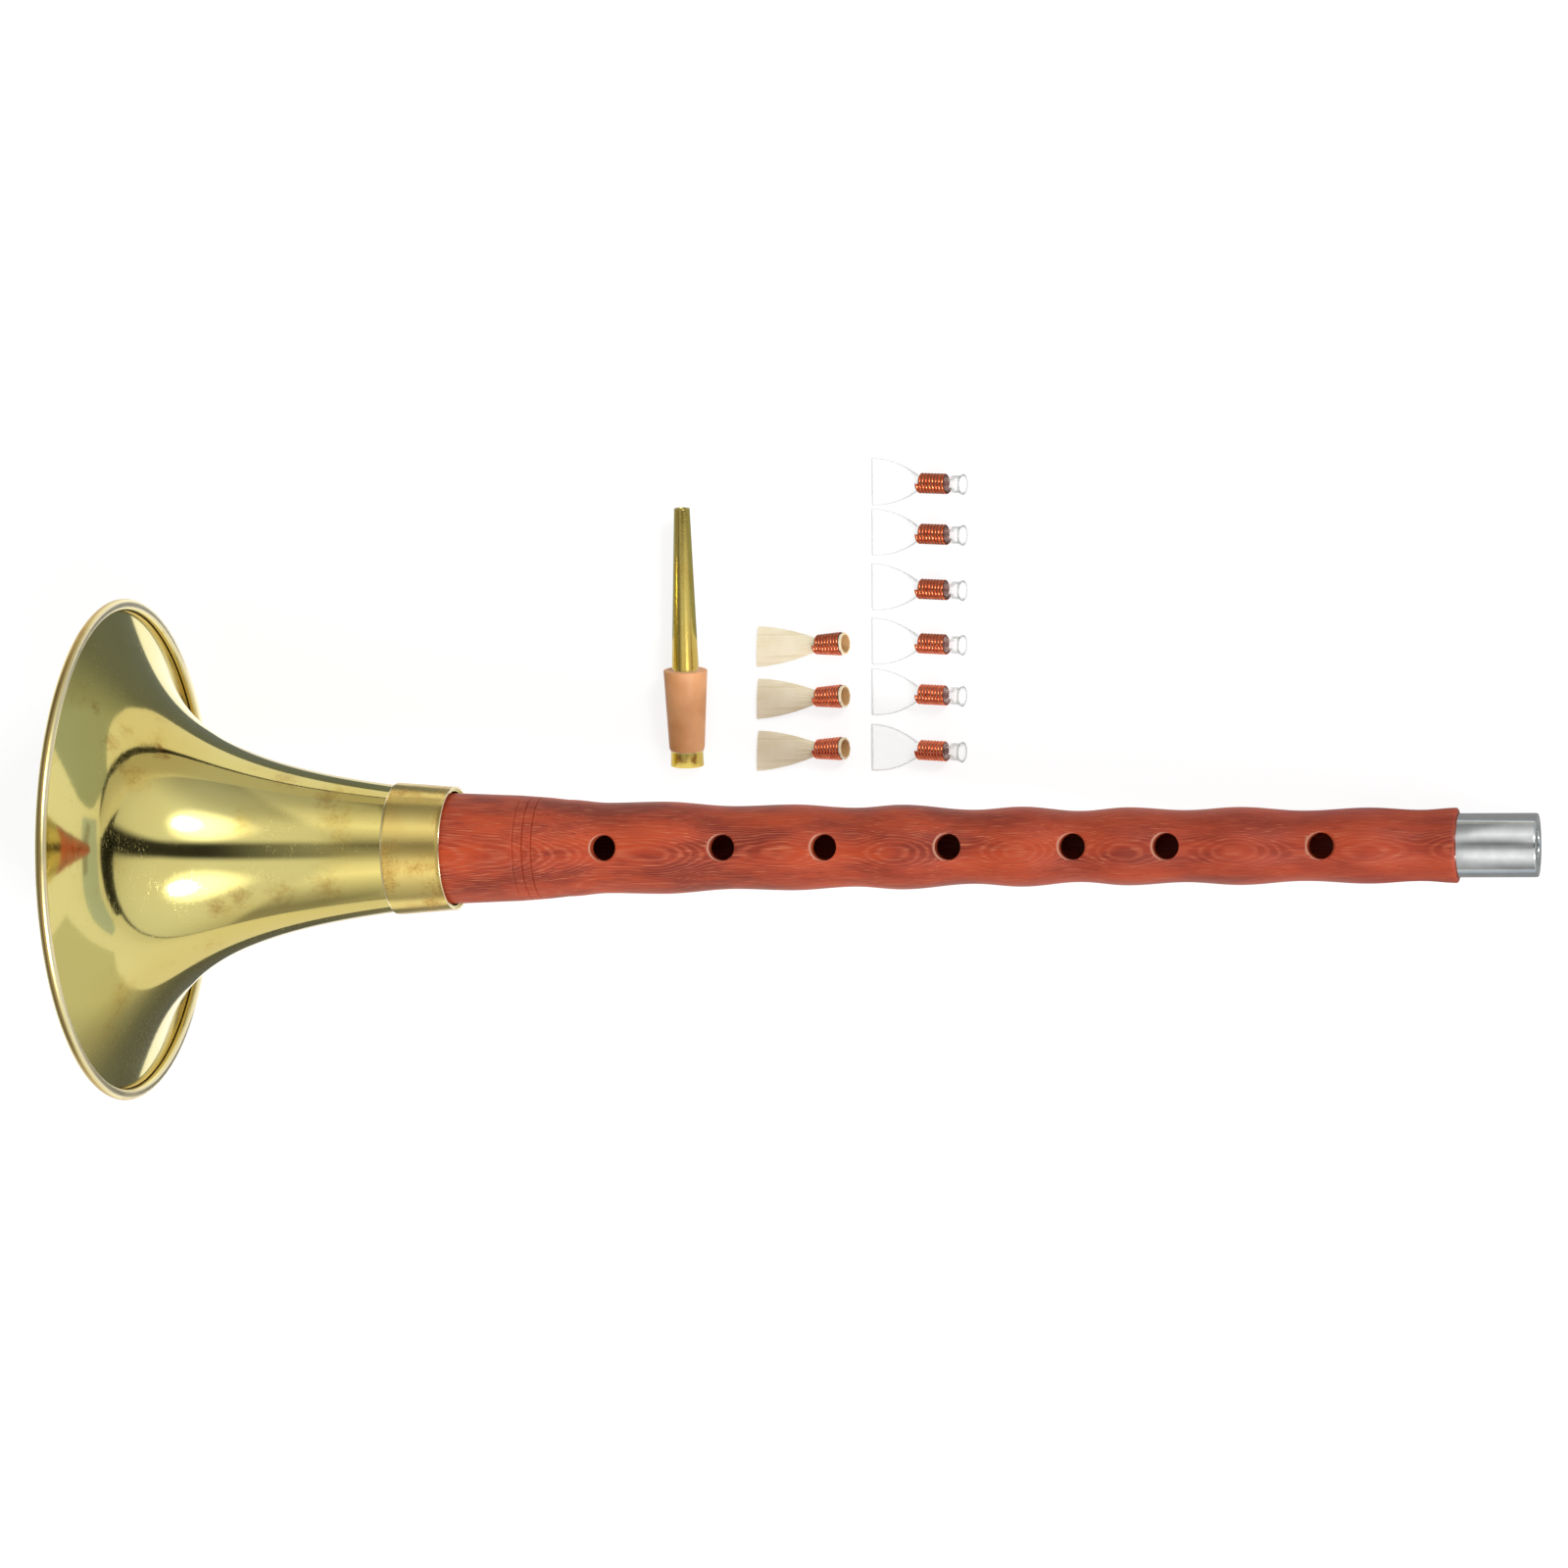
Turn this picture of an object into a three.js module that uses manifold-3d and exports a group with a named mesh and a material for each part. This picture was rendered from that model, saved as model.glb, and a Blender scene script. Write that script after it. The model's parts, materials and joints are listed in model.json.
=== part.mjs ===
// A suona laid out flat with its staff and its reeds, in millimetres, +Z up.
// The instrument lies on its bell rim and its steel ferrule, so its axis slopes down to the ferrule.
// Turned pieces are lathed about their own X axis: the bell's mouth is at x = 0, the ferrule at the far end.

import * as THREE from 'three';
import { mergeVertices } from 'three/addons/utils/BufferGeometryUtils.js';
import Module from 'manifold-3d';

const wasm = await Module();
wasm.setup();

// Clearances shared by every fit
const seatGap = 0.3; // between pieces that are pressed, soldered or glued together
const slideClearance = 0.35; // between the bell's neck and the lapping that it slides over
const entryClearance = 0.5; // between the bell's neck and the wood at its mouth
const cutOverrun = 2; // how far a cutting tool runs past what it cuts

// Bell
const bellSides = 40;
const beadCentreRadius = 64.7; // rim bead, measured to the middle of its wire
const beadRadius = 1.6;
const sheetWall = 0.5;
const rimWireRadius = 0.7;
const beadWrap = THREE.MathUtils.degToRad(280);
const beadSteps = 6;
const hornLength = 74.4; // from the bead to the start of the neck
const hornThroat = 16.4; // how quickly the flare opens: small is sudden
const hornExponent = 0.9;
const hornNeckRadius = 16.7; // at the start of the neck
const hornStationShares = [0, 0.035, 0.08, 0.14, 0.22, 0.32, 0.45, 0.61, 0.8, 1];
const neckLength = 15.2;
const neckEndRadius = 15.4;

// Collar on the bell's neck
const collarWall = 0.4;
const collarLip = 0.35; // how far the collar stands past the neck's end

// Wooden pipe
const pipeSides = 28;
const pipeLength = 260; // from the collar's mouth to the top end
const insertionDepth = 25; // how much more of it is inside the bell's neck
const entryLength = 3; // full-width wood inside the neck, before the tenon
const footBoreRadius = 9.5;
const headBoreRadius = 3.9;
const endRound = 0.5;
const grooveDepth = 0.35;
const grooveWidth = 0.8;
const grooveStationShares = [0.074, 0.084, 0.0935]; // of the pipe's length
// The waisted outline: a share of the pipe's length, then a share of the radius at the foot
const outlineShares = [
  [0, 1], [0.068, 0.951], [0.098, 0.91], [0.117, 0.871], [0.159, 0.813], [0.213, 0.828],
  [0.289, 0.742], [0.345, 0.767], [0.41, 0.7035], [0.4555, 0.753], [0.528, 0.657],
  [0.575, 0.708], [0.633, 0.628], [0.6795, 0.6875], [0.737, 0.634], [0.789, 0.684],
  [0.853, 0.615], [0.914, 0.663], [0.965, 0.619], [1, 0.654],
];
const straightOutlinePoints = 4; // the first points follow straight lines, the others a wave
const toneHoleRadius = 3.3;
const toneHoleSides = 16;
const toneHoleStationShares = [0.163, 0.2825, 0.385, 0.508, 0.63, 0.722, 0.8715];
const thumbHoleStationShare = 0.795;
const holeRoll = THREE.MathUtils.degToRad(8); // how far the holes face away from straight up

// Lapping round the pipe's tenon, which the bell grips
const lappingThickness = 0.8;
const lappingLength = 14;

// Steel ferrule in the pipe's top end
const ferruleSides = 28;
const ferruleRadius = 8.05;
const ferruleLength = 19.6; // the part that shows
const ferruleTenonRadius = 7;
const ferruleTenonLength = 12;
const socketRadius = 5.25;
const socketDepth = 24;
const ferruleBoreRadius = 3.5;
const ferruleChamfer = 0.4;

// Brass staff
const staffSides = 20;
const staffLength = 68.5;
const staffFootRadius = 4.45;
const staffTipRadius = 2.05;
const staffFootBoreRadius = 3.2;
const staffTipBoreRadius = 1.45;
const staffChamfer = 0.3;
const waistDepth = 0.45; // the sleeve sits in a waist this deep

// Rubber sleeve on the staff
const sleeveStart = 4.2; // bare brass left at the foot
const sleeveLength = 21.5;
const sleeveFootRadius = 4.75;
const sleeveHeadRadius = 5.93;
const sleeveRound = 0.6;

// Reeds of either kind
const bladeSides = 12;
const wireRadius = 0.25;
const windingSteps = 10;
const windingWireSides = 4;
const windingLoops = 8;
const leastWindingGap = 0.4;
const fanStationShares = [0, 0.35, 0.65, 0.85, 1];

// Cane reed
const caneReedCount = 3;
const caneReedLength = 26.1;
const caneFanLength = 17.3;
const caneTipHalfWidth = 5.3;
const caneTipHalfHeight = 0.5;
const caneNeckRadius = 1.85;
const caneBaseRadius = 2.4;
const caneLipRadius = 2.95;
const caneLipLength = 0.6;
const caneWall = 0.25;
const caneMouthRadius = 2.3;
const caneFanPower = 1.7;
const caneTipSlant = 0.13; // how far the tip is cut back for each millimetre across

// Plastic reed
const plasticReedCount = 6;
const plasticReedLength = 26.5;
const plasticFanLength = 13.6;
const plasticTipHalfWidth = 6.2;
const plasticTipHalfHeight = 0.35;
const plasticNeckRadius = 1.95;
const plasticWall = 0.2;
const plasticWindingLength = 8.6;
const plasticSkirtLength = 0.8; // blade that shows past the winding
const plasticSkirtRadius = 2.3;
const plasticFanPower = 2.2;
const stapleWall = 0.3;
const stapleInsertion = 7; // how far the staple goes into the blade
const stapleBodyRadius = 2.3;
const stapleMouthRadius = 2.75;
const stapleFlareLength = 1;

// Where the loose pieces lie: X along the instrument from the bell's mouth, Y to its left
const staffFootX = 134.8;
const staffFootY = 16.4;
const staffTurn = THREE.MathUtils.degToRad(87.6);
const staffToCaneRow = 19.7;
const caneRowX = staffFootX + staffToCaneRow;
const caneRowY = 47.6;
const caneRowPitch = 13.75;
const caneTurn = THREE.MathUtils.degToRad(2.8);
const caneToPlasticRow = 33.9;
const plasticRowX = caneRowX + caneToPlasticRow;
const plasticRowY = 90.9;
const plasticRowLength = 69.4;
const plasticRowShares = [0, 0.189, 0.395, 0.599, 0.79, 1];
const plasticTurn = THREE.MathUtils.degToRad(-1.5);
const rowLeanShare = -0.036; // how far a row drifts along X for each millimetre down it

// Materials
const materials = {
  brass: new THREE.MeshStandardMaterial({ color: 0xc3ac60, roughness: 0.25, metalness: 1 }),
  collarBrass: new THREE.MeshStandardMaterial({ color: 0xb39a4a, roughness: 0.38, metalness: 1 }),
  wire: new THREE.MeshStandardMaterial({ color: 0x8d8a80, roughness: 0.4, metalness: 1 }),
  rosewood: new THREE.MeshStandardMaterial({ color: 0xb7452e, roughness: 0.45, metalness: 0 }),
  steel: new THREE.MeshStandardMaterial({ color: 0xb9bdbf, roughness: 0.3, metalness: 1 }),
  lapping: new THREE.MeshStandardMaterial({ color: 0xcbb48a, roughness: 0.9, metalness: 0 }),
  staffBrass: new THREE.MeshStandardMaterial({ color: 0xb59b3f, roughness: 0.3, metalness: 1 }),
  rubber: new THREE.MeshStandardMaterial({ color: 0xcb8b58, roughness: 0.6, metalness: 0 }),
  cane: new THREE.MeshStandardMaterial({ color: 0xe3d5b0, roughness: 0.7, metalness: 0 }),
  copper: new THREE.MeshStandardMaterial({ color: 0xc0543a, roughness: 0.3, metalness: 1 }),
  clearPlastic: new THREE.MeshStandardMaterial({
    color: 0xf2f6f4, roughness: 0.1, metalness: 0, transparent: true, opacity: 0.35,
  }),
};

// Geometry helpers

/** Signed volume of a closed triangle mesh. */
function signedVolume(geometry) {
  const position = geometry.getAttribute('position');
  const index = geometry.getIndex();
  const [a, b, c] = [new THREE.Vector3(), new THREE.Vector3(), new THREE.Vector3()];
  let sum = 0;
  for (let i = 0; i < index.count; i += 3) {
    a.fromBufferAttribute(position, index.getX(i));
    b.fromBufferAttribute(position, index.getX(i + 1));
    c.fromBufferAttribute(position, index.getX(i + 2));
    sum += a.dot(b.cross(c));
  }
  return sum;
}

/** Keeps only merged positions, drops triangles with no area and turns the faces outwards. */
function closed(geometry) {
  geometry.deleteAttribute('normal');
  geometry.deleteAttribute('uv');
  const merged = mergeVertices(geometry);
  const old = merged.getIndex();
  const kept = [];
  for (let i = 0; i < old.count; i += 3) {
    const corner = [old.getX(i), old.getX(i + 1), old.getX(i + 2)];
    if (corner[0] !== corner[1] && corner[1] !== corner[2] && corner[2] !== corner[0]) {
      kept.push(...corner);
    }
  }
  merged.setIndex(kept);
  if (signedVolume(merged) < 0) {
    for (let i = 0; i < kept.length; i += 3) {
      [kept[i], kept[i + 1]] = [kept[i + 1], kept[i]];
    }
    merged.setIndex(kept);
  }
  return merged;
}

/** Turns a closed outline of [station, radius] points about the X axis, with a flat at the bottom. */
function turned(outline, sides) {
  const points = [...outline, outline[0]].map(([x, r]) => new THREE.Vector2(r, x));
  const geometry = new THREE.LatheGeometry(points, sides);
  geometry.rotateZ(-Math.PI / 2);
  geometry.rotateX(Math.PI / sides);
  return closed(geometry);
}

/** The closed mesh as a solid that can be cut. */
function toSolid(geometry) {
  return new wasm.Manifold(new wasm.Mesh({
    numProp: 3,
    vertProperties: new Float32Array(geometry.getAttribute('position').array),
    triVerts: new Uint32Array(geometry.getIndex().array),
  }));
}

/** A cut solid back as a geometry. */
function toGeometry(solid) {
  const mesh = solid.getMesh();
  const geometry = new THREE.BufferGeometry();
  geometry.setAttribute('position', new THREE.BufferAttribute(mesh.vertProperties, 3));
  geometry.setIndex(new THREE.BufferAttribute(mesh.triVerts, 1));
  return geometry;
}

/** Joins rings of points, each of the same count, into a tube; the last ring joins the first if looped. */
function skin(rings, looped) {
  const sides = rings[0].length;
  const positions = rings.flat().flatMap((p) => [p.x, p.y, p.z]);
  const indices = [];
  const spans = looped ? rings.length : rings.length - 1;
  for (let i = 0; i < spans; i += 1) {
    const here = i * sides;
    const next = ((i + 1) % rings.length) * sides;
    for (let j = 0; j < sides; j += 1) {
      const k = (j + 1) % sides;
      indices.push(here + j, next + j, next + k, here + j, next + k, here + k);
    }
  }
  if (!looped) {
    const last = (rings.length - 1) * sides;
    for (let j = 1; j < sides - 1; j += 1) {
      indices.push(0, j, j + 1, last, last + j + 1, last + j);
    }
  }
  const geometry = new THREE.BufferGeometry();
  geometry.setAttribute('position', new THREE.Float32BufferAttribute(positions, 3));
  geometry.setIndex(indices);
  return closed(geometry);
}

/** An oval ring square to X; slant cuts it back along X across its width. */
function oval(x, halfWidth, halfHeight, sides, slant = 0) {
  return Array.from({ length: sides }, (_, i) => {
    const angle = (i / sides) * Math.PI * 2;
    const across = halfWidth * Math.cos(angle);
    return new THREE.Vector3(x + slant * across, across, halfHeight * Math.sin(angle));
  });
}

function named(name, geometry, material) {
  const mesh = new THREE.Mesh(geometry, material);
  mesh.name = name;
  return mesh;
}

/** Lifts or lowers an item until its lowest point is on the floor. */
function setDown(item) {
  item.updateMatrixWorld(true);
  item.position.z -= new THREE.Box3().setFromObject(item, true).min.z;
  return item;
}

// Bell

// The radius that the flare would close down to is what makes it meet the neck at the neck's own radius
const hornNeckShare = ((hornLength + hornThroat) / hornThroat) ** -hornExponent;
const hornFloorRadius = (hornNeckRadius - beadCentreRadius * hornNeckShare) / (1 - hornNeckShare);

/** Radius of the horn's outer face at a distance from its rim end. */
function hornRadius(distance) {
  const opening = (distance + hornThroat) / hornThroat;
  return hornFloorRadius + (hornRimRadius - hornFloorRadius) * opening ** -hornExponent;
}

// The sheet meets the bead at the flare's own slope, and runs into it on the mouth side
const innerBeadRadius = beadRadius - sheetWall;
const rimSlope = Math.atan((hornExponent * (beadCentreRadius - hornFloorRadius)) / hornThroat);
const hornRimStation = -innerBeadRadius * Math.sin(rimSlope);
const hornRimRadius = beadCentreRadius - innerBeadRadius * Math.cos(rimSlope);
const hornEnd = hornLength;
const hornEndRadius = hornRadius(hornEnd - hornRimStation);
const neckEnd = hornEnd + neckLength;
const neckInnerRadius = neckEndRadius - sheetWall;
const collarMouth = neckEnd + collarLip;

/** Outer face of horn and neck, from the rim to the neck's end, each with its outward direction. */
function hornFace() {
  const face = hornStationShares.map((share) => {
    const distance = share * (hornEnd - hornRimStation);
    const radius = hornRadius(distance);
    const slope = (hornExponent * (radius - hornFloorRadius)) / (distance + hornThroat);
    const length = Math.hypot(1, slope);
    return { x: hornRimStation + distance, r: radius, outX: slope / length, outR: 1 / length };
  });
  face.push({ x: neckEnd, r: neckEndRadius, outX: 0, outR: 1 });
  return face;
}

/** Arc of the rolled bead at a radius, from the mouth side round the outside to the curled end. */
function beadArc(radius) {
  return Array.from({ length: beadSteps + 1 }, (_, i) => {
    const angle = rimSlope + (i / beadSteps) * beadWrap;
    return [-radius * Math.sin(angle), beadCentreRadius - radius * Math.cos(angle)];
  });
}

function bellHorn() {
  const face = hornFace();
  const outside = face.map((p) => [p.x, p.r]);
  const inside = face.map((p) => [p.x - sheetWall * p.outX, p.r - sheetWall * p.outR]);
  const outline = [
    ...inside.slice(1).reverse(),
    ...beadArc(beadRadius),
    ...beadArc(innerBeadRadius).reverse(),
    ...outside.slice(1),
  ];
  return named('bell_horn', turned(outline, bellSides), materials.brass);
}

function bellRimWire() {
  const wireSteps = 6;
  const outline = Array.from({ length: wireSteps }, (_, i) => {
    const angle = (i / wireSteps) * Math.PI * 2;
    return [rimWireRadius * Math.cos(angle), beadCentreRadius + rimWireRadius * Math.sin(angle)];
  });
  return named('bell_rim_wire', turned(outline, bellSides), materials.wire);
}

function bellCollar() {
  const innerStart = hornEndRadius + seatGap;
  const innerEnd = neckEndRadius + seatGap;
  const outline = [
    [hornEnd, innerStart],
    [hornEnd, innerStart + collarWall],
    [collarMouth, innerEnd + collarWall],
    [collarMouth, innerEnd],
  ];
  return named('bell_collar', turned(outline, bellSides), materials.collarBrass);
}

// Wooden pipe

const pipeStart = collarMouth;
const pipeEnd = pipeStart + pipeLength;
const pipeFoot = pipeStart - insertionDepth;
const pipeFootRadius = neckInnerRadius - entryClearance;
const lappingOuterRadius = neckInnerRadius - slideClearance;
const lappingInnerRadius = lappingOuterRadius - lappingThickness;
const tenonRadius = lappingInnerRadius - seatGap;
const pipeHeadRadius = outlineShares[outlineShares.length - 1][1] * pipeFootRadius;
const counterboreRadius = ferruleTenonRadius + seatGap;
const counterboreDepth = ferruleTenonLength + seatGap;

/** The wood's radius at a share of its length: straight lines at the foot, then a smooth wave. */
function pipeRadius(share) {
  const next = Math.max(1, outlineShares.findIndex(([at]) => at >= share));
  const [x0, r0] = outlineShares[next - 1];
  const [x1, r1] = outlineShares[next];
  const part = (share - x0) / (x1 - x0);
  const eased = next < straightOutlinePoints ? part : (1 - Math.cos(part * Math.PI)) / 2;
  return (r0 + (r1 - r0) * eased) * pipeFootRadius;
}

/** Stations along the wood, as shares: the outline's own points and one more on each wave. */
function pipeStationShares() {
  const shares = [];
  outlineShares.slice(1).forEach(([end], i) => {
    const start = outlineShares[i][0];
    const parts = i + 1 < straightOutlinePoints ? [0] : [0, 0.5];
    parts.forEach((part) => shares.push(start + (end - start) * part));
  });
  const halfGroove = grooveWidth / 2 / pipeLength;
  const clear = shares.filter((s) => grooveStationShares.every((g) => Math.abs(s - g) > halfGroove));
  grooveStationShares.forEach((g) => clear.push(g - halfGroove, g, g + halfGroove));
  return clear.sort((a, b) => a - b);
}

/** A round cutter that drills one tone hole square to the axis. */
function toneHoleCutter(share, roll) {
  const from = headBoreRadius - cutOverrun;
  const to = pipeFootRadius + cutOverrun;
  const cutter = new THREE.CylinderGeometry(toneHoleRadius, toneHoleRadius, to - from, toneHoleSides);
  cutter.rotateX(Math.PI / 2);
  cutter.translate(0, 0, (from + to) / 2);
  cutter.rotateX(-roll);
  cutter.translate(pipeStart + share * pipeLength, 0, 0);
  return toSolid(closed(cutter));
}

function woodenPipe() {
  const outside = pipeStationShares().map((share) => {
    const inGroove = grooveStationShares.includes(share);
    return [pipeStart + share * pipeLength, pipeRadius(share) - (inGroove ? grooveDepth : 0)];
  });
  const boreTaper = (footBoreRadius - headBoreRadius) / (pipeLength + insertionDepth);
  const counterbore = pipeEnd - counterboreDepth;
  const outline = [
    [pipeFoot, footBoreRadius],
    [pipeFoot, tenonRadius - endRound],
    [pipeFoot + endRound, tenonRadius],
    [pipeStart - entryLength, tenonRadius],
    [pipeStart - entryLength, pipeFootRadius],
    ...outside,
    [pipeEnd - endRound, pipeHeadRadius],
    [pipeEnd, pipeHeadRadius - endRound],
    [pipeEnd, counterboreRadius],
    [counterbore, counterboreRadius],
    [counterbore, headBoreRadius + boreTaper * counterboreDepth],
  ];
  let wood = toSolid(turned(outline, pipeSides));
  toneHoleStationShares.forEach((share) => {
    wood = wood.subtract(toneHoleCutter(share, holeRoll));
  });
  wood = wood.subtract(toneHoleCutter(thumbHoleStationShare, holeRoll + Math.PI));
  return named('wooden_pipe', toGeometry(wood), materials.rosewood);
}

function footLapping() {
  const start = pipeFoot + (pipeStart - entryLength - pipeFoot - lappingLength) / 2;
  const outline = [
    [start, lappingInnerRadius],
    [start, lappingOuterRadius],
    [start + lappingLength, lappingOuterRadius],
    [start + lappingLength, lappingInnerRadius],
  ];
  return named('foot_lapping', turned(outline, pipeSides), materials.lapping);
}

function steelFerrule() {
  const shoulder = pipeEnd + seatGap;
  const end = shoulder + ferruleLength;
  const start = pipeEnd - ferruleTenonLength;
  const outline = [
    [start, ferruleBoreRadius],
    [start, ferruleTenonRadius],
    [shoulder, ferruleTenonRadius],
    [shoulder, ferruleRadius],
    [end - ferruleChamfer, ferruleRadius],
    [end, ferruleRadius - ferruleChamfer],
    [end, socketRadius + ferruleChamfer],
    [end - ferruleChamfer, socketRadius],
    [end - socketDepth, socketRadius],
    [end - socketDepth, ferruleBoreRadius],
  ];
  return named('steel_ferrule', turned(outline, ferruleSides), materials.steel);
}

/** The instrument, sloped so that it lies on its bell rim and on the ferrule's end. */
function suona() {
  const group = new THREE.Group();
  group.add(bellHorn(), bellRimWire(), bellCollar(), woodenPipe(), footLapping(), steelFerrule());
  const rimDrop = (beadCentreRadius + beadRadius) * Math.cos(Math.PI / bellSides);
  const ferruleDrop = ferruleRadius * Math.cos(Math.PI / ferruleSides);
  const ferruleRim = pipeEnd + seatGap + ferruleLength - ferruleChamfer;
  group.rotation.y = Math.atan((rimDrop - ferruleDrop) / ferruleRim);
  return setDown(group);
}

// Staff and sleeve

/** The staff's outer radius at a distance from its foot, before the waist is turned. */
function staffRadius(distance) {
  return staffFootRadius + ((staffTipRadius - staffFootRadius) * distance) / staffLength;
}

function staffTube() {
  const waistEnd = sleeveStart + sleeveLength;
  const outline = [
    [0, staffFootBoreRadius],
    [0, staffFootRadius],
    [sleeveStart - seatGap, staffRadius(sleeveStart - seatGap)],
    [sleeveStart - seatGap, staffRadius(sleeveStart) - waistDepth],
    [waistEnd + seatGap, staffRadius(waistEnd) - waistDepth],
    [waistEnd + seatGap, staffRadius(waistEnd + seatGap)],
    [staffLength - staffChamfer, staffTipRadius],
    [staffLength, staffTipRadius - staffChamfer],
    [staffLength, staffTipBoreRadius],
  ];
  return named('staff_tube', turned(outline, staffSides), materials.staffBrass);
}

function staffSleeve() {
  const end = sleeveStart + sleeveLength;
  const outline = [
    [sleeveStart, staffRadius(sleeveStart) - waistDepth + seatGap],
    [sleeveStart, sleeveFootRadius - sleeveRound / 2],
    [sleeveStart + sleeveRound, sleeveFootRadius],
    [end - sleeveRound, sleeveHeadRadius],
    [end, sleeveHeadRadius - sleeveRound],
    [end, staffRadius(end) - waistDepth + seatGap],
  ];
  return named('staff_sleeve', turned(outline, staffSides), materials.rubber);
}

/** The staff lying on its sleeve's wide end and its own foot, so its tip is clear of the floor. */
function staff() {
  const group = new THREE.Group();
  group.add(staffTube(), staffSleeve());
  const rise = (sleeveHeadRadius - staffFootRadius) * Math.cos(Math.PI / staffSides);
  group.rotation.order = 'ZYX';
  group.rotation.z = staffTurn;
  group.rotation.y = -Math.atan(rise / (sleeveStart + sleeveLength - sleeveRound));
  group.position.set(staffFootX, staffFootY, 0);
  return setDown(group);
}

// Reeds

/** Prints the least distance between two turns of a winding, surface to surface, and checks it. */
function reportWindingGap(name, path) {
  let least = Infinity;
  path.forEach((p, i) => {
    for (let j = i + windingSteps / 2; j < path.length; j += 1) {
      least = Math.min(least, p.distanceTo(path[j]));
    }
  });
  const gap = least - 2 * wireRadius;
  console.log(`${name}: least gap between turns ${gap.toFixed(3)} mm, wanted over ${leastWindingGap}`);
}

/** One unbroken wire wound round a taper, from one station to another. */
function winding(name, from, to, radiusAt) {
  const path = [];
  const rings = [];
  const run = to - from - 2 * wireRadius;
  const count = windingLoops * windingSteps;
  for (let i = 0; i <= count; i += 1) {
    const x = from + wireRadius + (run * i) / count;
    const core = (radiusAt(x) + seatGap) / Math.cos(Math.PI / windingSteps);
    const angle = (i / windingSteps) * Math.PI * 2;
    const out = new THREE.Vector3(0, Math.cos(angle), Math.sin(angle));
    const centre = out.clone().multiplyScalar(core + wireRadius).setX(x);
    path.push(centre);
    rings.push(Array.from({ length: windingWireSides }, (_, j) => {
      const turn = (j / windingWireSides) * Math.PI * 2;
      const offset = out.clone().multiplyScalar(wireRadius * Math.cos(turn));
      offset.x += wireRadius * Math.sin(turn);
      return centre.clone().add(offset);
    }));
  }
  reportWindingGap(name, path);
  return named(name, skin(rings, false), materials.copper);
}

/** Outer rings of a fan that narrows from its tip to a round neck. */
function fanRings(size, inset) {
  return fanStationShares.map((share) => {
    const spread = 1 - share ** size.power;
    const halfWidth = size.neck + (size.tipHalfWidth - size.neck) * spread - inset;
    const halfHeight = size.tipHalfHeight + (size.neck - size.tipHalfHeight) * share - inset;
    const slant = size.slant * (1 - share);
    return oval(share * size.length, halfWidth, halfHeight, bladeSides, slant);
  });
}

function round(x, radius) {
  return oval(x, radius, radius, bladeSides);
}

/** A hollow blade: its outer rings from tip to base, then its inner rings back to the tip. */
function hollowBlade(name, outer, inner, material) {
  return named(name, skin([...outer, ...inner.reverse()], true), material);
}

/** Lays a reed down on its tip and on the widest turn of its winding. */
function layDown(group, x, y, turn, restStation, restRadius, tipHalfHeight) {
  group.rotation.order = 'ZYX';
  group.rotation.z = turn;
  group.rotation.y = -Math.atan((restRadius - tipHalfHeight) / restStation);
  group.position.set(x, y, 0);
  return setDown(group);
}

const caneWindingEnd = caneReedLength - caneLipLength;

/** Radius of the cane under its winding. */
function caneRadius(x) {
  const part = (x - caneFanLength) / (caneWindingEnd - caneFanLength);
  return caneNeckRadius + (caneBaseRadius - caneNeckRadius) * part;
}

function caneReed(number) {
  const fan = {
    length: caneFanLength, tipHalfWidth: caneTipHalfWidth, tipHalfHeight: caneTipHalfHeight,
    neck: caneNeckRadius, power: caneFanPower, slant: caneTipSlant,
  };
  const outer = [
    ...fanRings(fan, 0),
    round(caneWindingEnd, caneBaseRadius),
    round(caneWindingEnd + seatGap, caneLipRadius),
    round(caneReedLength, caneLipRadius),
  ];
  const inner = [...fanRings(fan, caneWall), round(caneReedLength, caneMouthRadius)];
  const group = new THREE.Group();
  group.add(
    hollowBlade(`cane_reed_${number}_blade`, outer, inner, materials.cane),
    winding(`cane_reed_${number}_winding`, caneFanLength, caneWindingEnd, caneRadius),
  );
  const drop = (number - 1) * caneRowPitch;
  const restRadius = caneBaseRadius + seatGap + 2 * wireRadius;
  const [x, y] = [caneRowX + rowLeanShare * drop, caneRowY - drop];
  return layDown(group, x, y, caneTurn, caneWindingEnd, restRadius, caneTipHalfHeight);
}

const plasticWindingEnd = plasticFanLength + plasticWindingLength;
const skirtEnd = plasticWindingEnd + plasticSkirtLength;

/** Clear tube pushed into the blade's base; its flared mouth takes the staff's tip. */
function reedStaple(number) {
  const tubeRadius = plasticNeckRadius - plasticWall - seatGap;
  const shoulder = skirtEnd + seatGap;
  const flare = plasticReedLength - stapleFlareLength;
  const outer = [
    round(shoulder - stapleInsertion, tubeRadius),
    round(shoulder, tubeRadius),
    round(shoulder + seatGap, stapleBodyRadius),
    round(flare, stapleBodyRadius),
    round(plasticReedLength, stapleMouthRadius),
  ];
  const inner = [
    round(shoulder - stapleInsertion, tubeRadius - stapleWall),
    round(shoulder + stapleWall, tubeRadius - stapleWall),
    round(shoulder + seatGap + stapleWall, stapleBodyRadius - stapleWall),
    round(flare, stapleBodyRadius - stapleWall),
    round(plasticReedLength, stapleMouthRadius - stapleWall),
  ];
  return hollowBlade(`plastic_reed_${number}_staple`, outer, inner, materials.clearPlastic);
}

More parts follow.
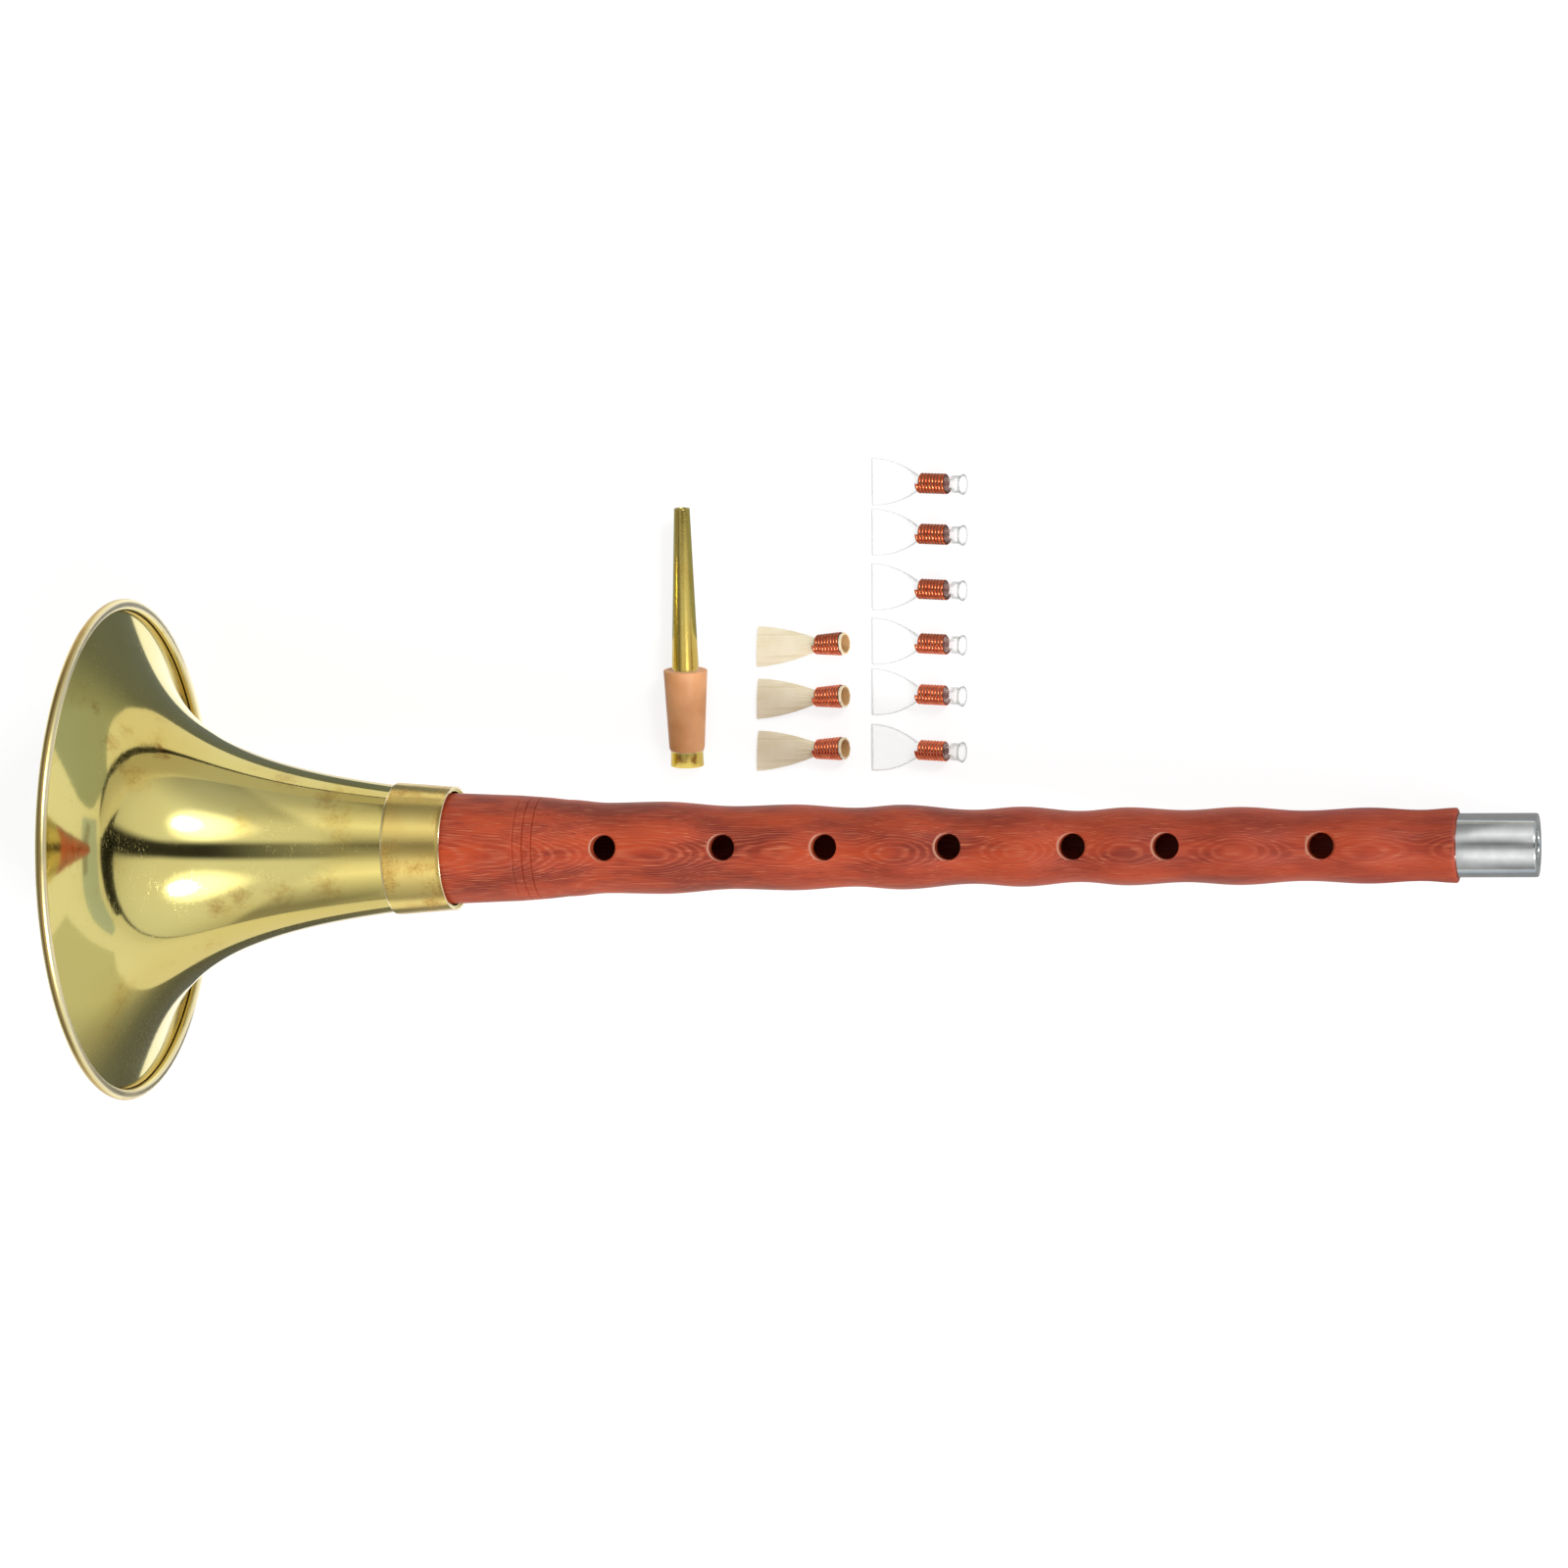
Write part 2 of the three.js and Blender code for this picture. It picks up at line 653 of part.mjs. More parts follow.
function plasticReed(number) {
  const fan = {
    length: plasticFanLength, tipHalfWidth: plasticTipHalfWidth, tipHalfHeight: plasticTipHalfHeight,
    neck: plasticNeckRadius, power: plasticFanPower, slant: 0,
  };
  const outer = [
    ...fanRings(fan, 0),
    round(plasticWindingEnd, plasticNeckRadius),
    round(skirtEnd, plasticSkirtRadius),
  ];
  const inner = [
    ...fanRings(fan, plasticWall),
    round(plasticWindingEnd, plasticNeckRadius - plasticWall),
    round(skirtEnd, plasticSkirtRadius - plasticWall),
  ];
  const group = new THREE.Group();
  group.add(
    hollowBlade(`plastic_reed_${number}_blade`, outer, inner, materials.clearPlastic),
    reedStaple(number),
    winding(
      `plastic_reed_${number}_winding`, plasticFanLength, plasticWindingEnd, () => plasticNeckRadius,
    ),
  );
  const drop = plasticRowShares[number - 1] * plasticRowLength;
  const restRadius = plasticNeckRadius + seatGap + 2 * wireRadius;
  const [x, y] = [plasticRowX + rowLeanShare * drop, plasticRowY - drop];
  return layDown(group, x, y, plasticTurn, plasticWindingEnd, restRadius, plasticTipHalfHeight);
}

// The whole set, with the middle of its underside at the origin

const set = new THREE.Group();
set.add(suona(), staff());
for (let number = 1; number <= caneReedCount; number += 1) {
  set.add(caneReed(number));
}
for (let number = 1; number <= plasticReedCount; number += 1) {
  set.add(plasticReed(number));
}
set.updateMatrixWorld(true);
const extent = new THREE.Box3().setFromObject(set, true);
const middle = extent.getCenter(new THREE.Vector3());
set.position.set(-middle.x, -middle.y, -extent.min.z);
console.log(`moved to the origin by ${set.position.toArray().map((v) => v.toFixed(3)).join(', ')} mm`);

export default set;
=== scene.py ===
"""A suona laid out flat with its staff and its reeds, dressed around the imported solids.

Sizes are in millimetres in each class, and meshes are in metres once they are placed.
Turned pieces are made about their own X axis and then moved to where the solids say.
"""

import json
import logging
import math
from collections.abc import Callable, Iterable
from dataclasses import dataclass, field
from enum import Enum
from typing import ClassVar

import bmesh
import bpy
from mathutils import Matrix, Vector

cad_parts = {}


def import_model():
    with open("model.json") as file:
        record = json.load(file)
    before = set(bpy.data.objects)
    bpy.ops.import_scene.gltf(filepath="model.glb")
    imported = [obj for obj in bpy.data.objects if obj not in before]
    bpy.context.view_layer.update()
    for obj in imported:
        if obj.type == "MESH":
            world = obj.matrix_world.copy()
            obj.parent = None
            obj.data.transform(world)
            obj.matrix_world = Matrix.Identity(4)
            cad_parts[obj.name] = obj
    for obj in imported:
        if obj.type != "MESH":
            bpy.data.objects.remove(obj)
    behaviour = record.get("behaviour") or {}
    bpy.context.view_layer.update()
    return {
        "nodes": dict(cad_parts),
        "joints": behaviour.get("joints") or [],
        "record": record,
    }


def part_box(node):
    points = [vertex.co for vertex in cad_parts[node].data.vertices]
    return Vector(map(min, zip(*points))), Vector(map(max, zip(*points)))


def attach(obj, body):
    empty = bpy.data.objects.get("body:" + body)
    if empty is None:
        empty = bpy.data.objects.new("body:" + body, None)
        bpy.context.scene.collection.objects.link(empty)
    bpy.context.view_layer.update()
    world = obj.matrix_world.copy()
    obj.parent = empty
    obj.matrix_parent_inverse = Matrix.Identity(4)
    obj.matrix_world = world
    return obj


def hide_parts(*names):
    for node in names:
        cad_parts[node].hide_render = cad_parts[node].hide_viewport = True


log = logging.getLogger("suona")

MM = 0.001
Value = object
Outline = list[tuple[float, float]]
BMesh = bmesh.types.BMesh
Mesh = bpy.types.Mesh
Object = bpy.types.Object
Socket = bpy.types.NodeSocket
Tree = bpy.types.NodeTree

INSTRUMENT = ("pipe", "lapping", "bell")  # bodies that show in each other's polish

MIX_A, MIX_B, MIX_OUT = 6, 7, 2  # sockets of a colour Mix node
FLOAT_A, FLOAT_B = 2, 3  # sockets of a number Mix node
MEASURES = ("LENGTH", "DISTANCE", "DOT_PRODUCT")  # vector sums that give a number


def srgb(code: str) -> tuple[float, float, float, float]:
    """Turns a hex colour such as #A0B1C2 to linear red, green, blue and an alpha of 1."""
    parts = [int(code[i : i + 2], 16) / 255 for i in (1, 3, 5)]
    linear = [c / 12.92 if c <= 0.04045 else ((c + 0.055) / 1.055) ** 2.4 for c in parts]
    return (*linear, 1.0)


def add(
    tree: Tree,
    kind: str,
    inputs: dict[str | int, Value] | None = None,
    stops: Iterable[tuple[float, str]] = (),
    **settings: Value,
) -> bpy.types.Node:
    """Adds a node with its settings, values and links.

    Args:
        tree: The node tree that takes the node.
        kind: The node's type name.
        inputs: Values or output sockets, by the input's name or number.
        stops: Places and hex colours of a colour ramp.
        **settings: The node's own settings.

    Returns:
        The new node.
    """
    node = tree.nodes.new(kind)
    for name, value in settings.items():
        setattr(node, name, value)
    for key, value in (inputs or {}).items():
        plug(tree, value, node.inputs[key])
    for i, (place, code) in enumerate(stops):
        elements = node.color_ramp.elements
        element = elements[i] if i < 2 else elements.new(place)
        element.position = place
        element.color = srgb(code)
    return node


def plug(tree: Tree, value: Value, entry: Socket) -> None:
    """Links a socket to an input, or sets the input to a value."""
    if isinstance(value, Socket):
        tree.links.new(value, entry)
    else:
        entry.default_value = value


@dataclass(frozen=True)
class Nodes:
    """A node tree with a short way to lay each common node. Each returns the node's output."""

    tree: Tree

    def maths(self, operation: str, *values: Value, clamp: bool = False) -> Socket:
        """Lays a sum of one to three numbers."""
        inputs = dict(enumerate(values))
        node = add(self.tree, "ShaderNodeMath", inputs, operation=operation, use_clamp=clamp)
        return node.outputs[0]

    def vector(self, operation: str, *values: Value) -> Socket:
        """Lays a sum of vectors."""
        node = add(self.tree, "ShaderNodeVectorMath", dict(enumerate(values)), operation=operation)
        return node.outputs["Value" if operation in MEASURES else "Vector"]

    def span(
        self,
        value: Socket,
        low: float = 0.0,
        high: float = 1.0,
        first: float = 0.0,
        last: float = 1.0,
        soft: bool = False,
    ) -> Socket:
        """Maps low to first and high to last, eased at both ends when it is soft."""
        inputs = {"Value": value, "From Min": low, "From Max": high}
        inputs |= {"To Min": first, "To Max": last}
        kind = "SMOOTHSTEP" if soft else "LINEAR"
        node = add(self.tree, "ShaderNodeMapRange", inputs, interpolation_type=kind)
        return node.outputs["Result"]

    def blend(self, share: Socket, first: Socket | str, last: Socket | str) -> Socket:
        """Mixes two colours, each a socket or a hex code."""
        ends = [srgb(end) if isinstance(end, str) else end for end in (first, last)]
        inputs = {0: share, MIX_A: ends[0], MIX_B: ends[1]}
        return add(self.tree, "ShaderNodeMix", inputs, data_type="RGBA").outputs[MIX_OUT]

    def weigh(self, share: Socket, first: Value, last: Value) -> Socket:
        """Mixes two numbers."""
        return add(self.tree, "ShaderNodeMix", {0: share, FLOAT_A: first, FLOAT_B: last}).outputs[0]

    def ramp(self, value: Socket, *stops: tuple[float, str]) -> Socket:
        """Lays a colour ramp."""
        return add(self.tree, "ShaderNodeValToRGB", {"Fac": value}, stops).outputs["Color"]

    def tone(
        self, where: Socket, scale: float, detail: float, low: str, high: str, top: float = 0.65
    ) -> Socket:
        """Lays a colour that drifts softly between two."""
        return self.ramp(self.noise(where, scale, detail), (0.35, low), (top, high))

    def noise(
        self,
        where: Socket,
        scale: float,
        detail: float,
        roughness: float = 0.5,
        distortion: float = 0.0,
        dimensions: str = "3D",
        output: str = "Fac",
    ) -> Socket:
        """Lays a noise."""
        inputs = {"Vector": where, "Scale": scale, "Detail": detail, "Roughness": roughness}
        inputs["Distortion"] = distortion
        node = add(self.tree, "ShaderNodeTexNoise", inputs, noise_dimensions=dimensions)
        return node.outputs[output]

    def stretch(
        self, where: Socket, scale: tuple[float, ...], turn: tuple[float, ...] = (0, 0, 0)
    ) -> Socket:
        """Turns and scales coordinates."""
        inputs = {"Vector": where, "Rotation": turn, "Scale": scale}
        return add(self.tree, "ShaderNodeMapping", inputs).outputs["Vector"]

    def bump(
        self, height: Socket, depth: float, strength: float = 1.0, over: Socket | None = None
    ) -> Socket:
        """Lays a bump of a depth in millimetres, over another one if that is given."""
        inputs = {"Height": height, "Strength": strength, "Distance": depth * MM}
        if over is not None:
            inputs["Normal"] = over
        return add(self.tree, "ShaderNodeBump", inputs).outputs["Normal"]

    def mark(self, name: str) -> Socket:
        """Reads a mark that the mesh carries on its points."""
        return add(self.tree, "ShaderNodeAttribute", attribute_name=name).outputs["Fac"]

    def part(self, where: Socket, axis: str) -> Socket:
        """Takes X, Y or Z out of coordinates."""
        return add(self.tree, "ShaderNodeSeparateXYZ", {"Vector": where}).outputs[axis]

    def off(self, measure: Socket, middle: float) -> Socket:
        """Gives how far a measure is from a middle."""
        return self.maths("ABSOLUTE", self.maths("SUBTRACT", measure, middle))

    def camera_ray(self) -> Socket:
        """Tells the camera's own rays from all others."""
        return add(self.tree, "ShaderNodeLightPath").outputs["Is Camera Ray"]


# Frames and meshes


@dataclass(frozen=True)
class Place:
    """Where a piece's own millimetre frame lies in the shared frame."""

    matrix: Matrix

    def put(self, mesh: Mesh) -> None:
        """Moves a mesh from its own millimetres to metres in the shared frame."""
        mesh.transform(self.matrix @ Matrix.Scale(MM, 4))

    def coordinates(self, tree: Tree) -> Socket:
        """Gives Object coordinates in the piece's own millimetre frame."""
        back = self.matrix.inverted()
        inputs = {
            "Vector": add(tree, "ShaderNodeTexCoord").outputs["Object"],
            "Location": back.to_translation() / MM,
            "Rotation": back.to_euler("XYZ"),
            "Scale": (1 / MM, 1 / MM, 1 / MM),
        }
        return add(tree, "ShaderNodeMapping", inputs).outputs["Vector"]


def instrument_place(frame: dict, length: float) -> Place:
    """Finds the instrument's axis from the bell's hinge and the ferrule's end face.

    Args:
        length: Distance from the bell's mouth to the ferrule's end, in millimetres.

    Returns:
        The frame whose origin is the middle of the bell's mouth, with X along the instrument.
    """
    hinge = next(j for j in frame["joints"] if j["name"] == "bell_turn")
    face = next(m for m in frame["record"]["mounts"] if m["name"] == "ferrule_end")
    along = Vector(hinge["axis"]).normalized()
    on_axis = Vector(hinge["pos_m"])
    end = on_axis + along * (Vector(face["pos_m"]) - on_axis).dot(along)
    across = Vector((0, 1, 0))
    turn = Matrix((along, across, along.cross(across))).transposed().to_4x4()
    return Place(Matrix.Translation(end - along * length * MM) @ turn)


def arc(
    centre: tuple[float, float], radius: float, start: float, stop: float, steps: int
) -> Outline:
    """Gives points on an arc of an outline, both ends included.

    Args:
        centre: Station and radius of the arc's middle.
        radius: The arc's own radius.
        start: First angle in degrees, counted from +station towards +radius.
        stop: Last angle in degrees.
        steps: How many steps the arc has.

    Returns:
        The points.
    """
    angles = [math.radians(start + (stop - start) * i / steps) for i in range(steps + 1)]
    return [(centre[0] + radius * math.cos(a), centre[1] + radius * math.sin(a)) for a in angles]


def rounded(corners: list[tuple[float, float, float]], steps: int = 4) -> Outline:
    """Rounds the corners of a closed outline.

    Args:
        corners: Station, radius and rounding of each corner.
        steps: How many steps each rounding has.

    Returns:
        The outline with a curve in each corner that has a rounding.
    """
    points: Outline = []
    for i, (x, r, size) in enumerate(corners):
        if size <= 0:
            points.append((x, r))
            continue
        corner = Vector((x, r))
        before = (Vector(corners[i - 1][:2]) - corner).normalized()
        after = (Vector(corners[(i + 1) % len(corners)][:2]) - corner).normalized()
        for k in range(steps + 1):
            t = k / steps
            point = corner + before * size * (1 - t) ** 2 + after * size * t**2
            points.append((point.x, point.y))
    return points


def spin(bm: BMesh, axis: tuple[int, int, int], sides: int) -> None:
    """Spins all points and edges a full turn about an axis, and closes the seam."""
    geometry = bm.verts[:] + bm.edges[:]
    bmesh.ops.spin(
        bm, geom=geometry, cent=(0, 0, 0), axis=axis, angle=math.tau, steps=sides, use_merge=True
    )
    bmesh.ops.remove_doubles(bm, verts=bm.verts, dist=1e-5)


def turned(outline: Outline, sides: int) -> BMesh:
    """Spins a closed outline of stations and radii about the X axis.

    Args:
        outline: Stations and radii, in order round the section.
        sides: How many steps the turn has.

    Returns:
        The closed shell, in millimetres.
    """
    bm = bmesh.new()
    verts = [bm.verts.new((x, 0.0, r)) for x, r in outline]
    for a, b in zip(verts, verts[1:] + verts[:1]):
        bm.edges.new((a, b))
    spin(bm, (1, 0, 0), sides)
    bmesh.ops.recalc_face_normals(bm, faces=bm.faces)
    return bm


def marked(bm: BMesh, name: str, rule: Callable[[Vector], float]) -> None:
    """Gives each point a mark that its finish reads, worked out from its place."""
    layer = bm.verts.layers.float.new(name)
    for v in bm.verts:
        v[layer] = rule(v.co)


def smooth(mesh: Mesh, sharp: float) -> None:
    """Shades a mesh smooth, but keeps edges crisp that fold by more than so many degrees."""
    mesh.polygons.foreach_set("use_smooth", [True] * len(mesh.polygons))
    mesh.set_sharp_from_angle(angle=math.radians(sharp))


def link(name: str, bm: BMesh, place: Place) -> Object:
    """Turns a bmesh to an object that stands at the origin.

    Args:
        name: The object's name.
        bm: The mesh in the piece's own millimetres. It is freed.
        place: Where the piece lies.

    Returns:
        The linked object.
    """
    mesh = bpy.data.meshes.new(name)
    bm.to_mesh(mesh)
    bm.free()
    place.put(mesh)
    piece = bpy.data.objects.new(name, mesh)
    bpy.context.scene.collection.objects.link(piece)
    return piece


def install(piece: Object, body: str, slot: str, *solids: str) -> None:
    """Lets a piece stand for its solids on a body, and reports it."""
    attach(piece, body)
    piece.visible_glossy = body in INSTRUMENT
    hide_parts(*solids)
    log.info("%s: %d faces on %s", piece.name, len(piece.data.polygons), body)


def cut(piece: Object, tool: Object) -> None:
    """Cuts a tool's shape out of a piece for good, and removes the tool."""
    modifier = piece.modifiers.new("holes", "BOOLEAN")
    modifier.operation = "DIFFERENCE"
    modifier.solver = "EXACT"
    modifier.object = tool
    graph = bpy.context.evaluated_depsgraph_get()
    result = bpy.data.meshes.new_from_object(piece.evaluated_get(graph))
    piece.modifiers.clear()
    piece.data = result
    result.name = piece.name
    bpy.data.objects.remove(tool)


# Finishes


@dataclass(frozen=True)
class Finish:
    """A material with the slot it belongs to. Each kind lays its own nodes."""

    name: str
    slot: str

    def lay(self, nodes: Nodes, where: Socket) -> dict[str, Value]:
        """Lays the pattern's nodes and returns the shader's inputs."""
        raise NotImplementedError

    def make(self, place: Place) -> bpy.types.Material:
        """Makes the material for pieces that lie in one frame, which its pattern follows."""
        material = bpy.data.materials.new(self.name)
        material.use_nodes = True
        tree = material.node_tree
        shader = tree.nodes["Principled BSDF"]
        for key, value in self.lay(Nodes(tree), place.coordinates(tree)).items():
            plug(tree, value, shader.inputs[key])
        return material


@dataclass(frozen=True)
class Brass(Finish):
    """Spun or drawn sheet brass: bright greenish gold, with brown blooms and turning lines."""

    clean: str = "#E6D785"
    warm: str = "#D6BE66"
    tarnish: str = "#A98445"
    bloom_mm: float = 16.0  # how wide a tarnish bloom is
    bloom_start: float = 0.55
    speck_mm: float = 1.6  # small brown specks inside the blooms
    line_mm: float = 0.5  # spacing of the turning lines, coarser than real so that they show
    line_depth: float = 0.003
    grain_mm: float = 0.35
    grain_depth: float = 0.0
    roughness: float = 0.07
    rings: tuple[tuple[float, float, str], ...] = ()  # radius, half width and colour of each ring round the axis, such as a painted highlight along a bead
    # colour of the bright edges: partly wear, partly a painted highlight
    worn: str = "#F7EDCB"
    sheen_and_wear_ends: tuple[float, ...] = ()  # stations of the edges kept bright, partly by handling and partly as a painted highlight
    sheen_and_wear_half: float = 0.42
    satin_beyond: float = 1000.0  # radius beyond which handling has left the metal satin
    satin: float = 0.24
    scratch: float = 0.0  # how much rougher the fine scratches are
    scratch_mm: float = 0.22
    stains: tuple[tuple[float, ...], ...] = ()  # place, reach and strength of each brown stain
    stain: str = "#AE8944"

    def stained(self, nodes: Nodes, where: Socket, colour: Socket) -> Socket:
        """Lays the single brown stains over the colour so far, ragged at their edges."""
        ragged = nodes.noise(where, 0.5, 6.0, 0.72)
        for *spot, reach, strength in self.stains:
            near = nodes.span(nodes.vector("DISTANCE", where, spot), 0.0, reach, 0.3, -0.2)
            torn = nodes.maths("ADD", near, ragged)
            mask = nodes.span(torn, 0.46, 0.86, 0.0, strength, soft=True)
            colour = nodes.blend(mask, colour, self.stain)
        return colour

    def banded(
        self, nodes: Nodes, colour: Socket, measure: Socket, middle: float, half: float, code: str
    ) -> Socket:
        """Lays a soft band of another colour where a measure is near a value.

        Args:
            nodes: The material's nodes.
            colour: The colour so far.
            measure: A length in millimetres.
            middle: The length at the band's middle.
            half: Half the band's width.
            code: The band's colour.

        Returns:
            The socket of the banded colour.
        """
        mask = nodes.span(nodes.off(measure, middle), half, half * 0.45, 0.0, 0.85, soft=True)
        return nodes.blend(mask, colour, code)

    def scratches(self, nodes: Nodes, where: Socket) -> Socket:
        """Lays a mask of two crossing sets of fine scratches, in patches."""
        fine, long = 1 / self.scratch_mm, 0.035 / self.scratch_mm
        masks = []
        for turn, scale in ((0.5, (long, fine, fine)), (-0.4, (fine, long, fine))):
            laid = nodes.stretch(where, scale, (turn, turn / 2, turn))
            masks.append(nodes.span(nodes.noise(laid, 1.0, 1.0), 0.66, 0.74))
        patch = nodes.span(nodes.noise(where, 0.07, 2.0), 0.4, 0.6)
        return nodes.maths("MULTIPLY", nodes.maths("MAXIMUM", *masks), patch)

    def edged(self, nodes: Nodes, where: Socket, reach: Socket, colour: Socket) -> Socket:
        """Lays the rings of other colour, such as a painted highlight along a bead, and the bright
        edges, which are partly wear and partly a painted highlight, over the metal.
        """
        for radius, half, code in self.rings:
            colour = self.banded(nodes, colour, reach, radius, half, code)
        # bright edges: partly wear, partly a painted highlight
        for station in self.sheen_and_wear_ends:
            along = nodes.part(where, "X")
            colour = self.banded(nodes, colour, along, station, self.sheen_and_wear_half, self.worn)
        return colour

    def lay(self, nodes: Nodes, where: Socket) -> dict[str, Value]:
        """Lays blooms, specks, stains, turning lines, grain, scratches, rings of other colour such
        as a painted highlight, and bright edges that are partly wear and partly a painted
        highlight.
        """
        reach = nodes.vector("LENGTH", nodes.vector("MULTIPLY", where, (0, 1, 1)))
        bloom = nodes.noise(where, 1 / self.bloom_mm, 5.0, 0.6, 0.15)
        bloom = nodes.span(bloom, self.bloom_start, self.bloom_start + 0.2, 0.0, 0.85, soft=True)
        speck = nodes.span(nodes.noise(where, 1 / self.speck_mm, 4.0, 0.7), 0.42, 0.72, soft=True)
        drift = nodes.span(nodes.noise(where, 0.45 / self.bloom_mm, 2.0), 0.42, 0.66, 0.0, 0.55)
        colour = nodes.blend(drift, self.clean, self.warm)
        colour = nodes.blend(bloom, colour, self.warm)
        colour = nodes.blend(nodes.maths("MULTIPLY", bloom, speck), colour, self.tarnish)
        colour = self.stained(nodes, where, colour)
        rough = nodes.span(bloom, 0.0, 1.0, self.roughness, self.roughness + 0.16)
        satin = nodes.span(reach, self.satin_beyond - 0.2, self.satin_beyond + 0.2, 0.0, self.satin)
        handled = nodes.maths("ADD", rough, satin)
        scuffed = nodes.maths("MULTIPLY_ADD", self.scratches(nodes, where), self.scratch, handled)
        lines = nodes.noise(nodes.stretch(where, (1 / self.line_mm, 0.02, 0.02)), 1.0, 3.0)
        grain = nodes.noise(where, 1 / self.grain_mm, 2.0)
        return {
            "Base Color": self.edged(nodes, where, reach, colour),
            "Metallic": 1.0,
            "Roughness": scuffed,
            "Normal": nodes.bump(grain, self.grain_depth, over=nodes.bump(lines, self.line_depth)),
        }


@dataclass(frozen=True)
class Rosewood(Finish):
    """Oiled padauk, turned along the grain: orange red with cathedral rings, flecks and vessels."""

    dark: str = "#762819"
    body: str = "#9C3920"
    glow: str = "#B0421E"
    fleck: str = "#C27250"
    ring: str = "#B4553A"
    vessel: str = "#66241A"
    # colour of the painted shade at the head
    head: str = "#852A12"
    head_shade_stations: tuple[float, float] = (130.0, 300.0)  # stations over which the wood is painted darker towards the head: painted shade
    # pale hole edges: raw wood and a painted highlight
    chip_glint: str = "#AC7C66"
    ring_mm: float = 0.28  # spacing of the growth rings
    fleck_length_mm: float = 4.4
    fleck_width_mm: float = 0.17
    roughness: float = 0.42

    def lay(self, nodes: Nodes, where: Socket) -> dict[str, Value]:
        """Lays growth rings, broad drift, flecks, vessels, painted shade towards the head, and the
        pale hole edges, raw wood with a painted highlight.
        """
        wander = nodes.noise(nodes.stretch(where, (0.03, 0.1, 0.1)), 1.0, 3.0, output="Color")
        grained = nodes.vector("MULTIPLY_ADD", wander, (0.7, 0.7, 0.7), where)
        waves = {"Vector": grained, "Scale": math.tau / 20 / self.ring_mm, "Distortion": 2.4}
        waves |= {"Detail": 2.0, "Detail Scale": 0.12}
        wave = add(nodes.tree, "ShaderNodeTexWave", waves, wave_type="BANDS", bands_direction="Z")
        rings = wave.outputs["Fac"]
        drift = nodes.noise(nodes.stretch(where, (0.035, 0.12, 0.12)), 1.0, 4.0, 0.6)
        colour = nodes.ramp(drift, (0.38, self.dark), (0.5, self.body), (0.63, self.glow))
        colour = nodes.blend(nodes.span(rings, 0.45, 1.0, 0.0, 0.5), colour, self.ring)
        long, thin = 1 / self.fleck_length_mm, 1 / self.fleck_width_mm
        flecks = nodes.noise(nodes.stretch(grained, (long, thin, thin)), 0.5, 2.0)
        pale = nodes.span(flecks, 0.55, 0.72, 0.0, 0.8)
        share = nodes.maths("MULTIPLY", pale, nodes.span(rings, 0.1, 0.8, 0.3))
        colour = nodes.blend(share, colour, self.fleck)
        colour = nodes.blend(nodes.span(flecks, 0.38, 0.28, 0.0, 0.7), colour, self.vessel)
        # painted shade: the wood darkens towards the head
        head_shade = nodes.span(nodes.part(where, "X"), *self.head_shade_stations, 0.0, 0.4)
        colour = nodes.blend(head_shade, colour, self.head)
        return {
            "Base Color": nodes.blend(nodes.mark("chip_glint"), colour, self.chip_glint),
            "Roughness": nodes.span(drift, 0.0, 1.0, self.roughness - 0.06, self.roughness + 0.1),
            "Normal": nodes.bump(flecks, 0.04, 0.5),
            "IOR": 1.5,
            "Specular IOR Level": 0.3,
        }


@dataclass(frozen=True)
class TurnedSteel(Finish):
    """Bright turned steel: near white, with fine tool lines round it that spread the highlights."""

    bright: str = "#DADCDB"
    dull: str = "#D1D4D3"
    line_mm: float = 0.3  # tool lines, coarser than real so that they show
    line_depth: float = 0.0015
    roughness: float = 0.12

    def lay(self, nodes: Nodes, where: Socket) -> dict[str, Value]:
        """Lays tool lines and faint handling marks."""
        lines = nodes.noise(nodes.stretch(where, (1 / self.line_mm, 0.03, 0.03)), 1.0, 4.0)
        return {
            "Base Color": nodes.tone(where, 0.3, 5.0, self.dull, self.bright, 0.62),
            "Metallic": 1.0,
            "Roughness": nodes.span(lines, 0.0, 1.0, self.roughness - 0.05, self.roughness + 0.08),
            "Normal": nodes.bump(lines, self.line_depth),
        }


@dataclass(frozen=True)
class Rubber(Finish):
    """Moulded natural rubber: soft amber, a little translucent, with a fine matt skin."""

    light: str = "#D99E6C"
    deep: str = "#C88852"
    skin_mm: float = 0.5
    roughness: float = 0.5

    def lay(self, nodes: Nodes, where: Socket) -> dict[str, Value]:
        """Lays broad tone and a fine skin."""
        return {
            "Base Color": nodes.tone(where, 0.12, 2.0, self.deep, self.light),
            "Roughness": self.roughness,
            "Subsurface Weight": 0.25,
            "Subsurface Radius": (1.0, 0.5, 0.3),
            "Subsurface Scale": 1.2 * MM,
            "Normal": nodes.bump(nodes.noise(where, 1 / self.skin_mm, 3.0), 0.03, 0.5),
        }


@dataclass(frozen=True)
class Cane(Finish):
    """Scraped reed cane: cream, with fine fibres along it and a browner bore."""

    light: str = "#F5EBD0"
    shade: str = "#EEE2C1"
    fibre: str = "#D2BF94"
    bore: str = "#C49A66"
    fibre_mm: float = 0.35  # spacing of the fibre bundles
    roughness: float = 0.62

    def lay(self, nodes: Nodes, where: Socket) -> dict[str, Value]:
        """Lays fibres from the piece's own grain map, and browns the inside of the bore."""
        grain = add(nodes.tree, "ShaderNodeUVMap", uv_map="grain").outputs["UV"]
        laid = nodes.stretch(grain, (0.05, 1 / self.fibre_mm, 1.0))
        fibres = nodes.noise(laid, 0.7, 3.0, 0.6, dimensions="2D")
        colour = nodes.tone(where, 0.16, 2.0, self.shade, self.light)
        colour = nodes.blend(nodes.span(fibres, 0.52, 0.72, 0.0, 0.6), colour, self.fibre)
        return {
            "Base Color": nodes.blend(nodes.mark("bore"), colour, self.bore),
            "Roughness": self.roughness,
            "Normal": nodes.bump(fibres, 0.05, 0.6),
        }


